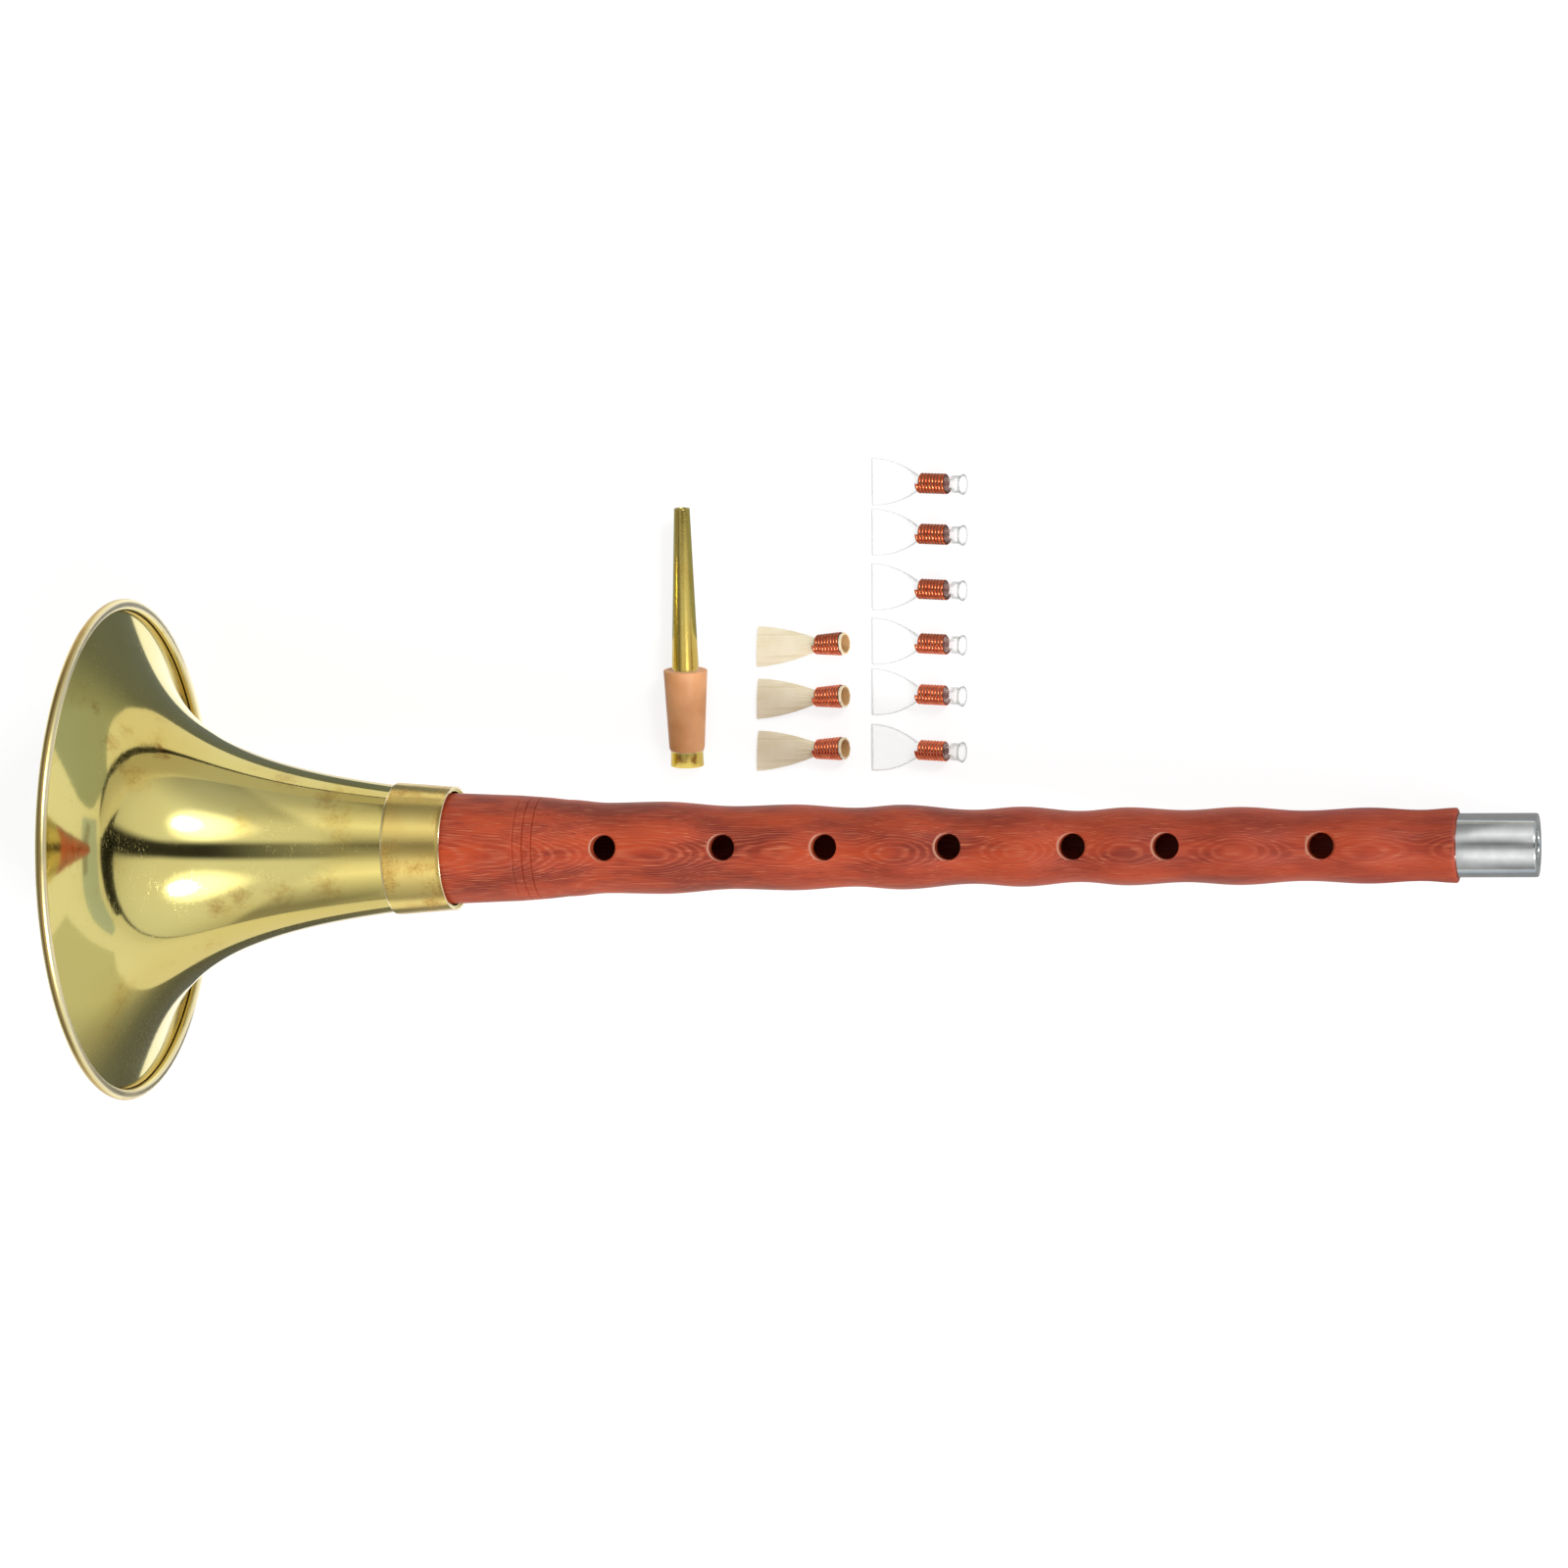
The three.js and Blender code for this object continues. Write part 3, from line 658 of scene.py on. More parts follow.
@dataclass(frozen=True)
class CopperWire(Finish):
    """Enamelled copper wire: deep orange red under a clear coat, with sharp highlights."""

    bright: str = "#F67D4B"
    deep: str = "#D8542B"
    # painted shade between the turns
    groove_shade: str = "#551708"
    roughness: float = 0.2

    def lay(self, nodes: Nodes, where: Socket) -> dict[str, Value]:
        """Lays the enamel's uneven tone, and paints shade on the sides of each turn, between the
        turns.
        """
        colour = nodes.tone(where, 0.9, 3.0, self.deep, self.bright)
        return {
            "Base Color": nodes.blend(nodes.mark("groove_shade"), colour, self.groove_shade),
            "Metallic": 0.9,
            "Roughness": self.roughness,
            "Coat Weight": 0.2,
            "Coat Roughness": 0.12,
        }


@dataclass(frozen=True)
class ClearPlastic(Finish):
    """Moulded clear plastic: almost invisible on white, with a grey outline and a soft ripple."""

    tint: str = "#EEF3F1"
    edge_tint: str = "#7C8280"
    alpha: float = 0.05
    edge_alpha: float = 0.36
    edge_blend: float = 0.6
    rim_alpha: float = 0.34  # how solid its thin edges are
    copper_reflection: str = "#C28A80"  # painted reflection of the winding's copper in the skirt beyond the winding
    ripple_mm: float = 3.0
    roughness: float = 0.06

    def lay(self, nodes: Nodes, where: Socket) -> dict[str, Value]:
        """Lays a soft moulding ripple, and thickens the plastic where it is seen edge on."""
        edge = add(nodes.tree, "ShaderNodeLayerWeight", {"Blend": self.edge_blend})
        facing = edge.outputs["Facing"]
        solid = nodes.span(facing, 0.2, 0.8, self.alpha, self.edge_alpha, soft=True)
        alpha = nodes.maths("MULTIPLY_ADD", nodes.mark("rim"), self.rim_alpha, solid, clamp=True)
        shaded = nodes.span(alpha, self.alpha, self.alpha + 0.3)
        colour = nodes.blend(shaded, self.tint, self.edge_tint)
        return {
            # painted reflection of the copper on the skirt
            "Base Color": nodes.blend(nodes.mark("skirt"), colour, self.copper_reflection),
            "Roughness": self.roughness,
            "IOR": 1.49,
            "Transmission Weight": 0.3,
            "Alpha": alpha,
            "Normal": nodes.bump(nodes.noise(where, 1 / self.ripple_mm, 1.0), 0.05, 0.3),
        }


@dataclass(frozen=True)
class Thread(Finish):
    """Waxed cotton thread: pale straw, fuzzy and matt, darker where it was handled."""

    light: str = "#D8C59A"
    worn: str = "#A98E5F"
    fibre_mm: float = 0.2

    def lay(self, nodes: Nodes, where: Socket) -> dict[str, Value]:
        """Lays worn patches and fine fibres."""
        return {
            "Base Color": nodes.tone(where, 0.2, 4.0, self.worn, self.light),
            "Roughness": 0.85,
            "Normal": nodes.bump(nodes.noise(where, 1 / self.fibre_mm, 3.0), 0.06, 0.8),
        }


@dataclass(frozen=True)
class OpalBoard(Finish):
    """White opal acrylic lit from below: matt and even, with weak shadows and faint mottling."""

    white: str = "#F2F2F2"
    faint: str = "#EEEEED"
    seen: str = "#959595"  # how little of the light that falls on it shows beside its own glow
    light: float = 0.88

    def lay(self, nodes: Nodes, where: Socket) -> dict[str, Value]:
        """Lays faint mottling, and the glow that only the camera sees."""
        colour = nodes.ramp(nodes.noise(where, 0.02, 3.0), (0.3, self.faint), (0.7, self.white))
        camera = nodes.camera_ray()
        return {
            "Base Color": nodes.blend(camera, colour, self.seen),
            "Roughness": 0.9,
            "Specular IOR Level": 0.2,
            "Emission Color": srgb(self.white),
            "Emission Strength": nodes.maths("MULTIPLY", camera, self.light),
        }


@dataclass(frozen=True)
class GreyCard(Finish):
    """Glowing card that only reflections show, a painted reflection: one grey by the bell that runs
    out to another, faintly mottled.
    """

    near: str
    far: str
    fade: tuple[float, float] = (0.0, 700.0)  # stations between which the grey runs out
    light: float = 1.0

    def lay(self, nodes: Nodes, where: Socket) -> dict[str, Value]:
        """Lays the graded grey and faint mottling."""
        share = nodes.span(nodes.part(where, "X"), *self.fade, soft=True)
        uneven = nodes.maths("MULTIPLY_ADD", nodes.noise(where, 0.05, 3.0), 0.15, share)
        return {
            "Base Color": srgb("#000000"),
            "Roughness": 0.9,
            "Specular IOR Level": 0.0,
            "Emission Color": nodes.ramp(uneven, (0.07, self.near), (1.0, self.far)),
            "Emission Strength": self.light,
        }


class Finishes(Enum):
    """The finishes of the set, one for each of the record's slots, and those of the studio."""

    BELL = Brass(
        "spun_brass",
        "bell_brass",
        clean="#E3D88C",
        tarnish="#B39049",
        bloom_mm=19.0,
        roughness=0.075,
        # rings: a painted highlight along the bead's crest, a browner line where the bead meets the
        # flange, and a browner outer edge of the bead
        rings=((64.5, 1.5, "#FCF1D2"), (62.95, 0.22, "#D2B87E"), (66.05, 0.3, "#A98A56")),
        satin_beyond=63.2,
        scratch=0.3,
        stains=(
            (17.3, 28.6, 19.2, 5.0, 1.0), (7.8, 32.3, 31.1, 5.0, 0.6),
            (9.7, 34.5, 24.3, 4.0, 0.45), (32.0, -11.6, 23.4, 5.5, 0.7),
            (37.9, -9.1, 22.1, 6.5, 0.6), (47.7, -9.0, 19.1, 7.5, 0.5),
            (59.7, -7.3, 17.2, 8.0, 0.55), (47.3, 19.5, 8.4, 6.5, 0.45),
            (59.0, 14.7, 11.7, 7.5, 0.5), (4.0, 41.1, 30.5, 3.5, 0.6),
        ),
    )
    COLLAR = Brass(
        "soldered_brass_band",
        "collar_brass",
        clean="#EBD380",
        warm="#E3BC62",
        tarnish="#A5824A",
        bloom_mm=9.0,
        bloom_start=0.48,
        speck_mm=0.6,
        grain_depth=0.02,
        roughness=0.17,
        # the band's rolled lips: bright partly from wear, partly as a painted highlight
        sheen_and_wear_ends=(74.4, 90.05),
    )
    RIM_WIRE = TurnedSteel("drawn_iron_wire", "rim_wire_steel", "#A5A39B", "#7E7B72", roughness=0.4)
    WOOD = Rosewood("oiled_padauk", "rosewood")
    LAPPING = Thread("waxed_cotton_thread", "lapping_thread")
    FERRULE = TurnedSteel("turned_steel", "ferrule_steel")
    STAFF = Brass(
        "drawn_brass_tube",
        "staff_brass",
        clean="#D3BC66",
        warm="#CAA94E",
        tarnish="#B4934A",
        bloom_mm=4.0,
        bloom_start=0.58,
        speck_mm=0.4,
        grain_depth=0.03,
        roughness=0.15,
    )
    SLEEVE = Rubber("moulded_rubber", "sleeve_rubber")
    CANE = Cane("scraped_cane", "cane")
    WIRE = CopperWire("enamelled_copper", "copper_wire")
    CLEAR = ClearPlastic("clear_plastic_tube", "clear_plastic")
    CLEAR_BLADE = ClearPlastic(
        "clear_plastic_blade", "clear_plastic", edge_alpha=0.14, rim_alpha=0.25
    )
    BOARD = OpalBoard("opal_acrylic", "")
    # cards that glow and show only in reflections: painted reflections on the polish
    BLACK_CARD = GreyCard("black_card", "", "#2A2A26", "#242420")
    DARK_CARD = GreyCard("dark_grey_card", "", "#A1A2A1", "#9A9B9A")
    SIDE_CARD = GreyCard("side_grey_card", "", "#C4BFB4", "#E2DED4", fade=(250.0, 900.0))
    FAR_CARD = GreyCard("cool_grey_card", "", "#C1CCD8", "#BBC6D2")
    UPPER_CARD = GreyCard("upper_graded_card", "", "#70777D", "#AEB5B1", fade=(30.0, 110.0))
    LOWER_CARD = GreyCard("lower_graded_card", "", "#66696A", "#D6D4C6", fade=(15.0, 120.0))
    PALE_CARD = GreyCard("pale_card", "", "#F8F5F0", "#E6E2D8", fade=(100.0, 900.0))
    WHITE_CARD = GreyCard("white_card", "", "#FFFEFA", "#FBFAF6", light=1.25)

    def piece(
        self, name: str, bm: BMesh, place: Place, body: str = "", solid: str = "", sharp: float = 35
    ) -> Object:
        """Makes a smooth object of this finish.

        Args:
            name: The piece's name.
            bm: The mesh in the piece's own millimetres. It is freed.
            place: Where the piece lies.
            body: The body that it moves with, if it is installed at once.
            solid: The solid that it then stands for.
            sharp: Edges that fold by more than this many degrees stay crisp.

        Returns:
            The linked object.
        """
        material = self.value.make(place)
        piece = link(name, bm, place)
        piece.data.materials.append(material)
        smooth(piece.data, sharp)
        if body:
            install(piece, body, self.value.slot, solid)
        return piece


# Sub-assemblies


@dataclass
class Bell:
    """The spun bell with its wired rim, and the band on its neck."""

    place: Place
    sides: int = 192
    bead_centre_radius: float = 64.48
    bead_radius: float = 1.48
    sheet: float = 0.5
    bead_wrap: float = 300.0
    length: float = 74.4
    throat: float = 16.4
    floor_radius: float = 3.606
    exponent: float = 0.9
    neck_length: float = 15.2
    neck_radius: float = 15.4
    band_start_gap: float = 1.12
    band_wall: float = 0.68
    band_lip: float = 0.35
    rings: int = 64
    ring_crowding: float = 1.7  # how much closer the rings lie at the rim
    curl_steps: int = 30
    lining_steps: int = 24

    def horn_outline(self) -> Outline:
        """Works the section of the sheet out, from the neck round the bead and back.

        Returns:
            The closed outline of the sheet.
        """
        hollow = self.bead_radius - self.sheet
        rise = self.bead_centre_radius - self.floor_radius
        slope = math.atan(self.exponent * rise / self.throat)
        rim_station = -hollow * math.sin(slope)
        rim_radius = self.bead_centre_radius - hollow * math.cos(slope)
        outside: Outline = []
        inside: Outline = []
        for i in range(self.rings + 1):
            distance = (self.length - rim_station) * (i / self.rings) ** self.ring_crowding
            opening = (distance + self.throat) / self.throat
            radius = self.floor_radius + (rim_radius - self.floor_radius) * opening**-self.exponent
            fall = (radius - self.floor_radius) / (distance + self.throat)
            tilt = math.atan(self.exponent * fall)
            station = rim_station + distance
            outside.append((station, radius))
            thick = Vector((math.sin(tilt), math.cos(tilt))) * self.sheet
            inside.append((station - thick.x, radius - thick.y))
        neck_end = self.length + self.neck_length
        outside.append((neck_end, self.neck_radius))
        inside.append((neck_end, self.neck_radius - self.sheet))
        centre = (0.0, self.bead_centre_radius)
        start = -90 - math.degrees(slope)
        curl = arc(centre, self.bead_radius, start, start - self.bead_wrap, self.curl_steps)
        lining = arc(centre, hollow, start - self.bead_wrap, start, self.lining_steps)
        return inside[:0:-1] + curl + lining + outside[1:]

    def band_outline(self) -> Outline:
        """Gives the section of the band round the neck, with its rolled lip."""
        start = self.length
        end = self.length + self.neck_length + self.band_lip
        first = self.neck_radius + self.band_start_gap
        last = self.neck_radius
        wall = self.band_wall
        return rounded(
            [
                (start, first + 0.02, 0.0),
                (start, first + wall - 0.05, 0.15),
                (start + 0.8, first + wall - 0.06, 0.2),
                (end - 1.0, last + wall + 0.02, 0.3),
                (end, last + wall + 0.06, 0.2),
                (end, last + 0.03, 0.15),
            ]
        )

    def build(self, nodes: dict[str, Object]) -> None:
        """Makes the horn and the band, and gives the wire in the rim its finish."""
        horn = turned(self.horn_outline(), self.sides)
        Finishes.BELL.piece("bell_flare", horn, self.place, "bell", "bell_horn")
        band = turned(self.band_outline(), self.sides)
        Finishes.COLLAR.piece("bell_band", band, self.place, "bell", "bell_collar")
        wire = Finishes.RIM_WIRE.value.make(self.place)
        nodes["bell_rim_wire"].material_slots[0].material = wire


@dataclass
class Pipe:
    """The waisted wooden pipe with its holes, its tenon's lapping and the ferrule at its top."""

    place: Place
    start: float = 89.95
    length: float = 260.0
    insertion: float = 25.0
    entry: float = 3.0
    foot_radius: float = 14.36
    tenon_radius: float = 13.45
    foot_bore: float = 9.5
    head_bore: float = 3.9
    end_round: float = 0.5
    groove_depth: float = 0.3
    groove_width: float = 0.5
    groove_shares: tuple[float, ...] = (0.072, 0.0815, 0.0908)
    groove_rings: int = 72
    outline_shares: tuple[tuple[float, float], ...] = (
        (0, 1), (0.068, 0.951), (0.098, 0.91), (0.117, 0.871), (0.159, 0.813), (0.213, 0.828),
        (0.289, 0.742), (0.345, 0.767), (0.41, 0.7035), (0.4555, 0.753), (0.528, 0.657),
        (0.575, 0.708), (0.633, 0.628), (0.6795, 0.6875), (0.737, 0.634), (0.789, 0.684),
        (0.853, 0.615), (0.914, 0.663), (0.965, 0.619), (1, 0.654),
    )
    straight_points: int = 4
    hole_radius: float = 3.3
    hole_edge: float = 0.22
    hole_sides: int = 48
    hole_shares: tuple[float, ...] = (0.163, 0.2825, 0.385, 0.508, 0.63, 0.722, 0.8715)
    thumb_share: float = 0.795
    hole_roll: float = 8.0
    chip_glint_reach: float = 0.6  # how far past a hole's middle the pale edge reaches: raw wood and a painted highlight
    chip_glint_levels: tuple[float, float] = (0.35, 0.75)  # at a hole's middle, and more towards the foot
    sides: int = 144
    rings: int = 230
    ferrule_radius: float = 8.0
    ferrule_length: float = 19.6
    ferrule_gap: float = 0.3
    ferrule_tenon_radius: float = 7.0
    ferrule_tenon_length: float = 12.0
    socket_radius: float = 5.25
    socket_depth: float = 24.0
    ferrule_bore: float = 3.5
    ferrule_chamfer: float = 0.45
    lapping_inner: float = 13.5
    lapping_outer: float = 14.52
    lapping_length: float = 14.0
    lapping_turns: int = 26
    lapping_sides: int = 96
    ferrule_sides: int = 128

    @property
    def end(self) -> float:
        """Station of the wood's top end."""
        return self.start + self.length

    def radius(self, share: float) -> float:
        """Gives the wood's radius at a share of its length."""
        table = self.outline_shares
        reached = (i for i, (at, _) in enumerate(table) if at >= share)
        following = max(1, next(reached, len(table) - 1))
        (x0, r0), (x1, r1) = table[following - 1], table[following]
        part = min(1.0, (share - x0) / (x1 - x0))
        eased = part if following < self.straight_points else (1 - math.cos(part * math.pi)) / 2
        return (r0 + (r1 - r0) * eased) * self.foot_radius

    def groove(self, station: float) -> float:
        """Gives how deep the turned grooves are at a station."""
        half = self.groove_width / 2
        away = min(abs(station - self.start - share * self.length) for share in self.groove_shares)
        return self.groove_depth * (1 + math.cos(math.pi * away / half)) / 2 if away < half else 0.0

    def wood_outline(self) -> Outline:
        """Works the section of the wood out, outside first and then the bore.

        Returns:
            The closed outline.
        """
        margin = 0.004
        low, high = min(self.groove_shares) - margin, max(self.groove_shares) + margin
        shares = [i / self.rings for i in range(self.rings)]
        shares = [s for s in shares if not low <= s <= high]
        shares += [low + (high - low) * i / self.groove_rings for i in range(self.groove_rings + 1)]
        outside = []
        for share in sorted(shares):
            station = self.start + share * self.length
            outside.append((station, self.radius(share) - self.groove(station)))
        foot = self.start - self.insertion
        entry = self.start - self.entry
        head = self.foot_radius * self.outline_shares[-1][1]
        taper = (self.foot_bore - self.head_bore) / (self.length + self.insertion)
        counterbore = self.end - self.ferrule_tenon_length - self.ferrule_gap
        socket = self.ferrule_tenon_radius + self.ferrule_gap
        ease = self.end_round
        return [
            (foot, self.foot_bore + 0.4),
            *arc((foot + ease, self.tenon_radius - ease), ease, 180, 90, 4),
            (entry, self.tenon_radius),
            (entry, self.foot_radius),
            *outside,
            *arc((self.end - ease, head - ease), ease, 90, 0, 5),
            (self.end, socket),
            (counterbore, socket),
            (counterbore, self.head_bore + taper * self.ferrule_tenon_length),
            (foot + 0.4, self.foot_bore),
        ]

    def hole_tool(self, share: float, half_turn: float) -> Mesh:
        """Makes the tool that drills one hole, with an eased edge that follows the wood.

        Args:
            share: The hole's place as a share of the wood's length.
            half_turn: How far round from the front it is.

        Returns:
            The tool's mesh, in millimetres.
        """
        wood = self.radius(share)
        r, edge = self.hole_radius, self.hole_edge
        profile = [
            (0.0, 1.0), (r, 1.0), (r, wood - edge * 2.2), (r + edge * 0.25, wood - edge * 1.1),
            (r + edge, wood - edge * 0.2), (r + edge * 3, wood + edge), (r + edge * 3, wood + 4),
            (0.0, wood + 4),
        ]
        bm = bmesh.new()
        verts = [bm.verts.new((x, 0.0, z)) for x, z in profile]
        for a, b in zip(verts, verts[1:]):
            bm.edges.new((a, b))
        spin(bm, (0, 0, 1), self.hole_sides)
        for v in bm.verts:
            if v.co.z > wood / 2:
                v.co.z -= wood - math.sqrt(max(0.0, wood**2 - v.co.y**2))
        bmesh.ops.recalc_face_normals(bm, faces=bm.faces)
        roll = Matrix.Rotation(half_turn - math.radians(self.hole_roll), 4, "X")
        shift = Matrix.Translation((self.start + share * self.length, 0, 0))
        bmesh.ops.transform(bm, matrix=shift @ roll, verts=bm.verts)
        mesh = bpy.data.meshes.new("hole_tool_part")
        bm.to_mesh(mesh)
        bm.free()
        return mesh

    def hole_cutter(self) -> Object:
        """Makes one tool that drills every hole."""
        bm = bmesh.new()
        for share in (*self.hole_shares, self.thumb_share):
            part = self.hole_tool(share, math.pi if share == self.thumb_share else 0.0)
            bm.from_mesh(part)
            bpy.data.meshes.remove(part)
        return link("hole_tool", bm, self.place)

    def chip_glint_holes(self, mesh: Mesh) -> None:
        """Marks the pale edge of each hole on the side that faces the foot: raw wood where the edge
        is broken, and a painted highlight where the lamps catch it.
        """
        back = Matrix.Scale(1 / MM, 4) @ self.place.matrix.inverted()
        roll = Matrix.Rotation(math.radians(self.hole_roll), 4, "X")
        chip_glint = mesh.attributes.new("chip_glint", "FLOAT", "POINT")
        level, gain = self.chip_glint_levels
        for vertex in mesh.vertices:
            own = roll @ back @ vertex.co
            share = min(self.hole_shares, key=lambda s: abs(self.start + s * self.length - own.x))
            along = own.x - self.start - share * self.length
            away = math.hypot(along, own.y)
            near = self.hole_radius + 0.03 < away < self.hole_radius + self.hole_edge * 1.3
            high = own.z > self.radius(share) - self.hole_edge * 4
            if near and high and along < self.chip_glint_reach:
                chip_glint.data[vertex.index].value = min(1.0, level - along / self.hole_radius * gain)

    def build_wood(self) -> None:
        """Turns the wood and drills its holes."""
        wood = Finishes.WOOD.piece("pipe_wood", turned(self.wood_outline(), self.sides), self.place)
        cut(wood, self.hole_cutter())
        self.chip_glint_holes(wood.data)
        smooth(wood.data, 40)
        install(wood, "pipe", Finishes.WOOD.value.slot, "wooden_pipe")

    def build_lapping(self) -> None:
        """Winds the thread round the tenon in one ring of close turns."""
        space = self.insertion - self.entry
        start = self.start - self.insertion + (space - self.lapping_length) / 2
        pitch = self.lapping_length / self.lapping_turns
        ridges: Outline = []
        for i in range(self.lapping_turns):
            middle = (start + pitch * (i + 0.5), self.lapping_outer - pitch / 2)
            ridges += arc(middle, pitch / 2, 160, 20, 4)
        stop = start + self.lapping_length
        outline = [(start, self.lapping_inner), *ridges, (stop, self.lapping_inner)]
        ring = turned(outline, self.lapping_sides)
        Finishes.LAPPING.piece(
            "tenon_lapping", ring, self.place, "lapping", "foot_lapping", sharp=80
        )

    def build_ferrule(self) -> None:
        """Turns the ferrule with its socket."""
        foot = self.end - self.ferrule_tenon_length
        shoulder = self.end + 0.02
        end = self.end + self.ferrule_gap + self.ferrule_length
        floor = end - self.socket_depth
        chamfer = self.ferrule_chamfer
        outline = rounded(
            [
                (foot, self.ferrule_bore, 0.0),
                (foot, self.ferrule_tenon_radius, 0.3),
                (shoulder, self.ferrule_tenon_radius, 0.0),
                (shoulder, self.ferrule_radius, 0.15),
                (end, self.ferrule_radius, chamfer),
                (end, self.socket_radius + chamfer, 0.08),
                (end - chamfer, self.socket_radius, 0.12),
                (floor, self.socket_radius, 0.0),
                (floor, self.ferrule_bore, 0.0),
            ]
        )
        cap = turned(outline, self.ferrule_sides)
        Finishes.FERRULE.piece("ferrule_cap", cap, self.place, "pipe", "steel_ferrule", sharp=30)

    def build(self) -> None:
        """Makes the wood, the lapping and the ferrule."""
        self.build_wood()
        self.build_lapping()
        self.build_ferrule()


@dataclass
class Layout:
    """Where the loose pieces lie on the floor, counted from the middle of the bell's mouth."""

    origin: Vector

    def lying(self, x: float, y: float, height: float, turn: float, rise: float) -> Place:
        """Gives the frame of a piece that lies on the floor.

        Args:
            x: Distance along the instrument, in millimetres.
            y: Distance to its left, in millimetres.
            height: Height of the piece's own axis at its start, in millimetres.
            turn: How far it points away from the instrument's direction, in degrees.
            rise: How steeply its axis climbs, in radians.

        Returns:
            The piece's frame.
        """
        spot = Vector((self.origin.x + x * MM, self.origin.y + y * MM, height * MM))
        spun = Matrix.Rotation(math.radians(turn), 4, "Z")
        return Place(Matrix.Translation(spot) @ spun @ Matrix.Rotation(-rise, 4, "Y"))


@dataclass
class Staff:
    """The conical brass staff and the rubber sleeve on it."""

    layout: Layout
    x: float = 134.8
    y: float = 16.4
    turn: float = 87.6
    length: float = 68.5
    foot_radius: float = 4.45
    tip_radius: float = 2.05
    foot_bore: float = 3.2
    tip_bore: float = 1.45
    waist: float = 0.45  # how much thinner the tube is under the sleeve
    waist_margin: float = 0.3  # how far the thin part goes on past the sleeve
    sleeve_start: float = 4.2
    sleeve_length: float = 21.5
    sleeve_foot: float = 4.66
    sleeve_head: float = 5.81
    sleeve_round: float = 0.6
    solid_head: float = 5.93  # radius of the solid sleeve's wide end, on which the staff lies
    solid_sides: int = 20
    sides: int = 96

    def radius(self, distance: float) -> float:
        """Gives the staff's outer radius at a distance from its foot."""
        return self.foot_radius + (self.tip_radius - self.foot_radius) * distance / self.length

    def frame(self) -> Place:
        """Lays the staff on its foot and on the sleeve's wide end."""
        flat = math.cos(math.pi / self.solid_sides)
        climb = (self.solid_head - self.foot_radius) * flat
        rise = math.atan(climb / (self.sleeve_start + self.sleeve_length - self.sleeve_round))
        height = self.foot_radius * flat * math.cos(rise)
        return self.layout.lying(self.x, self.y, height, self.turn, rise)

    def build(self) -> None:
        """Turns the staff and moulds its sleeve."""
        place = self.frame()
        start, stop = self.sleeve_start, self.sleeve_start + self.sleeve_length
        margin = self.waist_margin
        tube = rounded(
            [
                (0.0, self.foot_bore + 0.25, 0.0),
                (0.0, self.foot_radius - 0.05, 0.18),
                (start - margin, self.radius(start) - 0.03, 0.05),
                (start - margin, self.radius(start) - self.waist, 0.0),
                (stop + margin, self.radius(stop) - self.waist, 0.0),
                (stop + margin, self.radius(stop), 0.15),
                (self.length, self.tip_radius, 0.12),
                (self.length, self.tip_bore + 0.12, 0.1),
                (self.length - 0.4, self.tip_bore, 0.0),
                (0.6, self.foot_bore, 0.0),
            ]
        )
        cone = turned(tube, self.sides)
        Finishes.STAFF.piece("staff_cone", cone, place, "staff", "staff_tube", sharp=30)
        grip = self.waist - 0.02
        sleeve = rounded(
            [
                (start - 0.1, self.radius(start) - grip, 0.0),
                (start - 0.1, self.radius(start) + 0.05, 0.1),
                (start + 0.5, self.sleeve_foot, 0.45),
                (stop - 1.6, self.sleeve_head - 0.12, 0.5),
                (stop - 0.15, self.sleeve_head, 0.25),
                (stop, self.sleeve_head - 0.75, 0.3),
                (stop - 0.25, self.radius(stop) + 0.45, 0.3),
                (stop - 0.1, self.radius(stop) - grip, 0.0),
            ],
            steps=5,
        )
        rubber = turned(sleeve, self.sides)
        Finishes.SLEEVE.piece("staff_rubber", rubber, place, "staff", "staff_sleeve", sharp=60)


@dataclass
class Fan:
    """The shape of a reed's blade, from its flat tip to its round neck."""

    length: float
    tip_half_width: float
    tip_half_height: float
    neck: float
    power: float
    slant: float
    height_power: float = 1.25
    rings: int = 40

    def widths(self, x: float) -> tuple[float, float]:
        """Gives the half width and half height at a distance from the tip."""
        share = min(1.0, max(0.0, x / self.length))
        width = self.neck + (self.tip_half_width - self.neck) * (1 - share**self.power)
        growth = (self.neck - self.tip_half_height) * share**self.height_power
        return width, self.tip_half_height + growth

    def stations(self) -> list[float]:
        """Gives the distances from the tip at which the fan has a ring."""
        return [self.length * i / self.rings for i in range(self.rings + 1)]


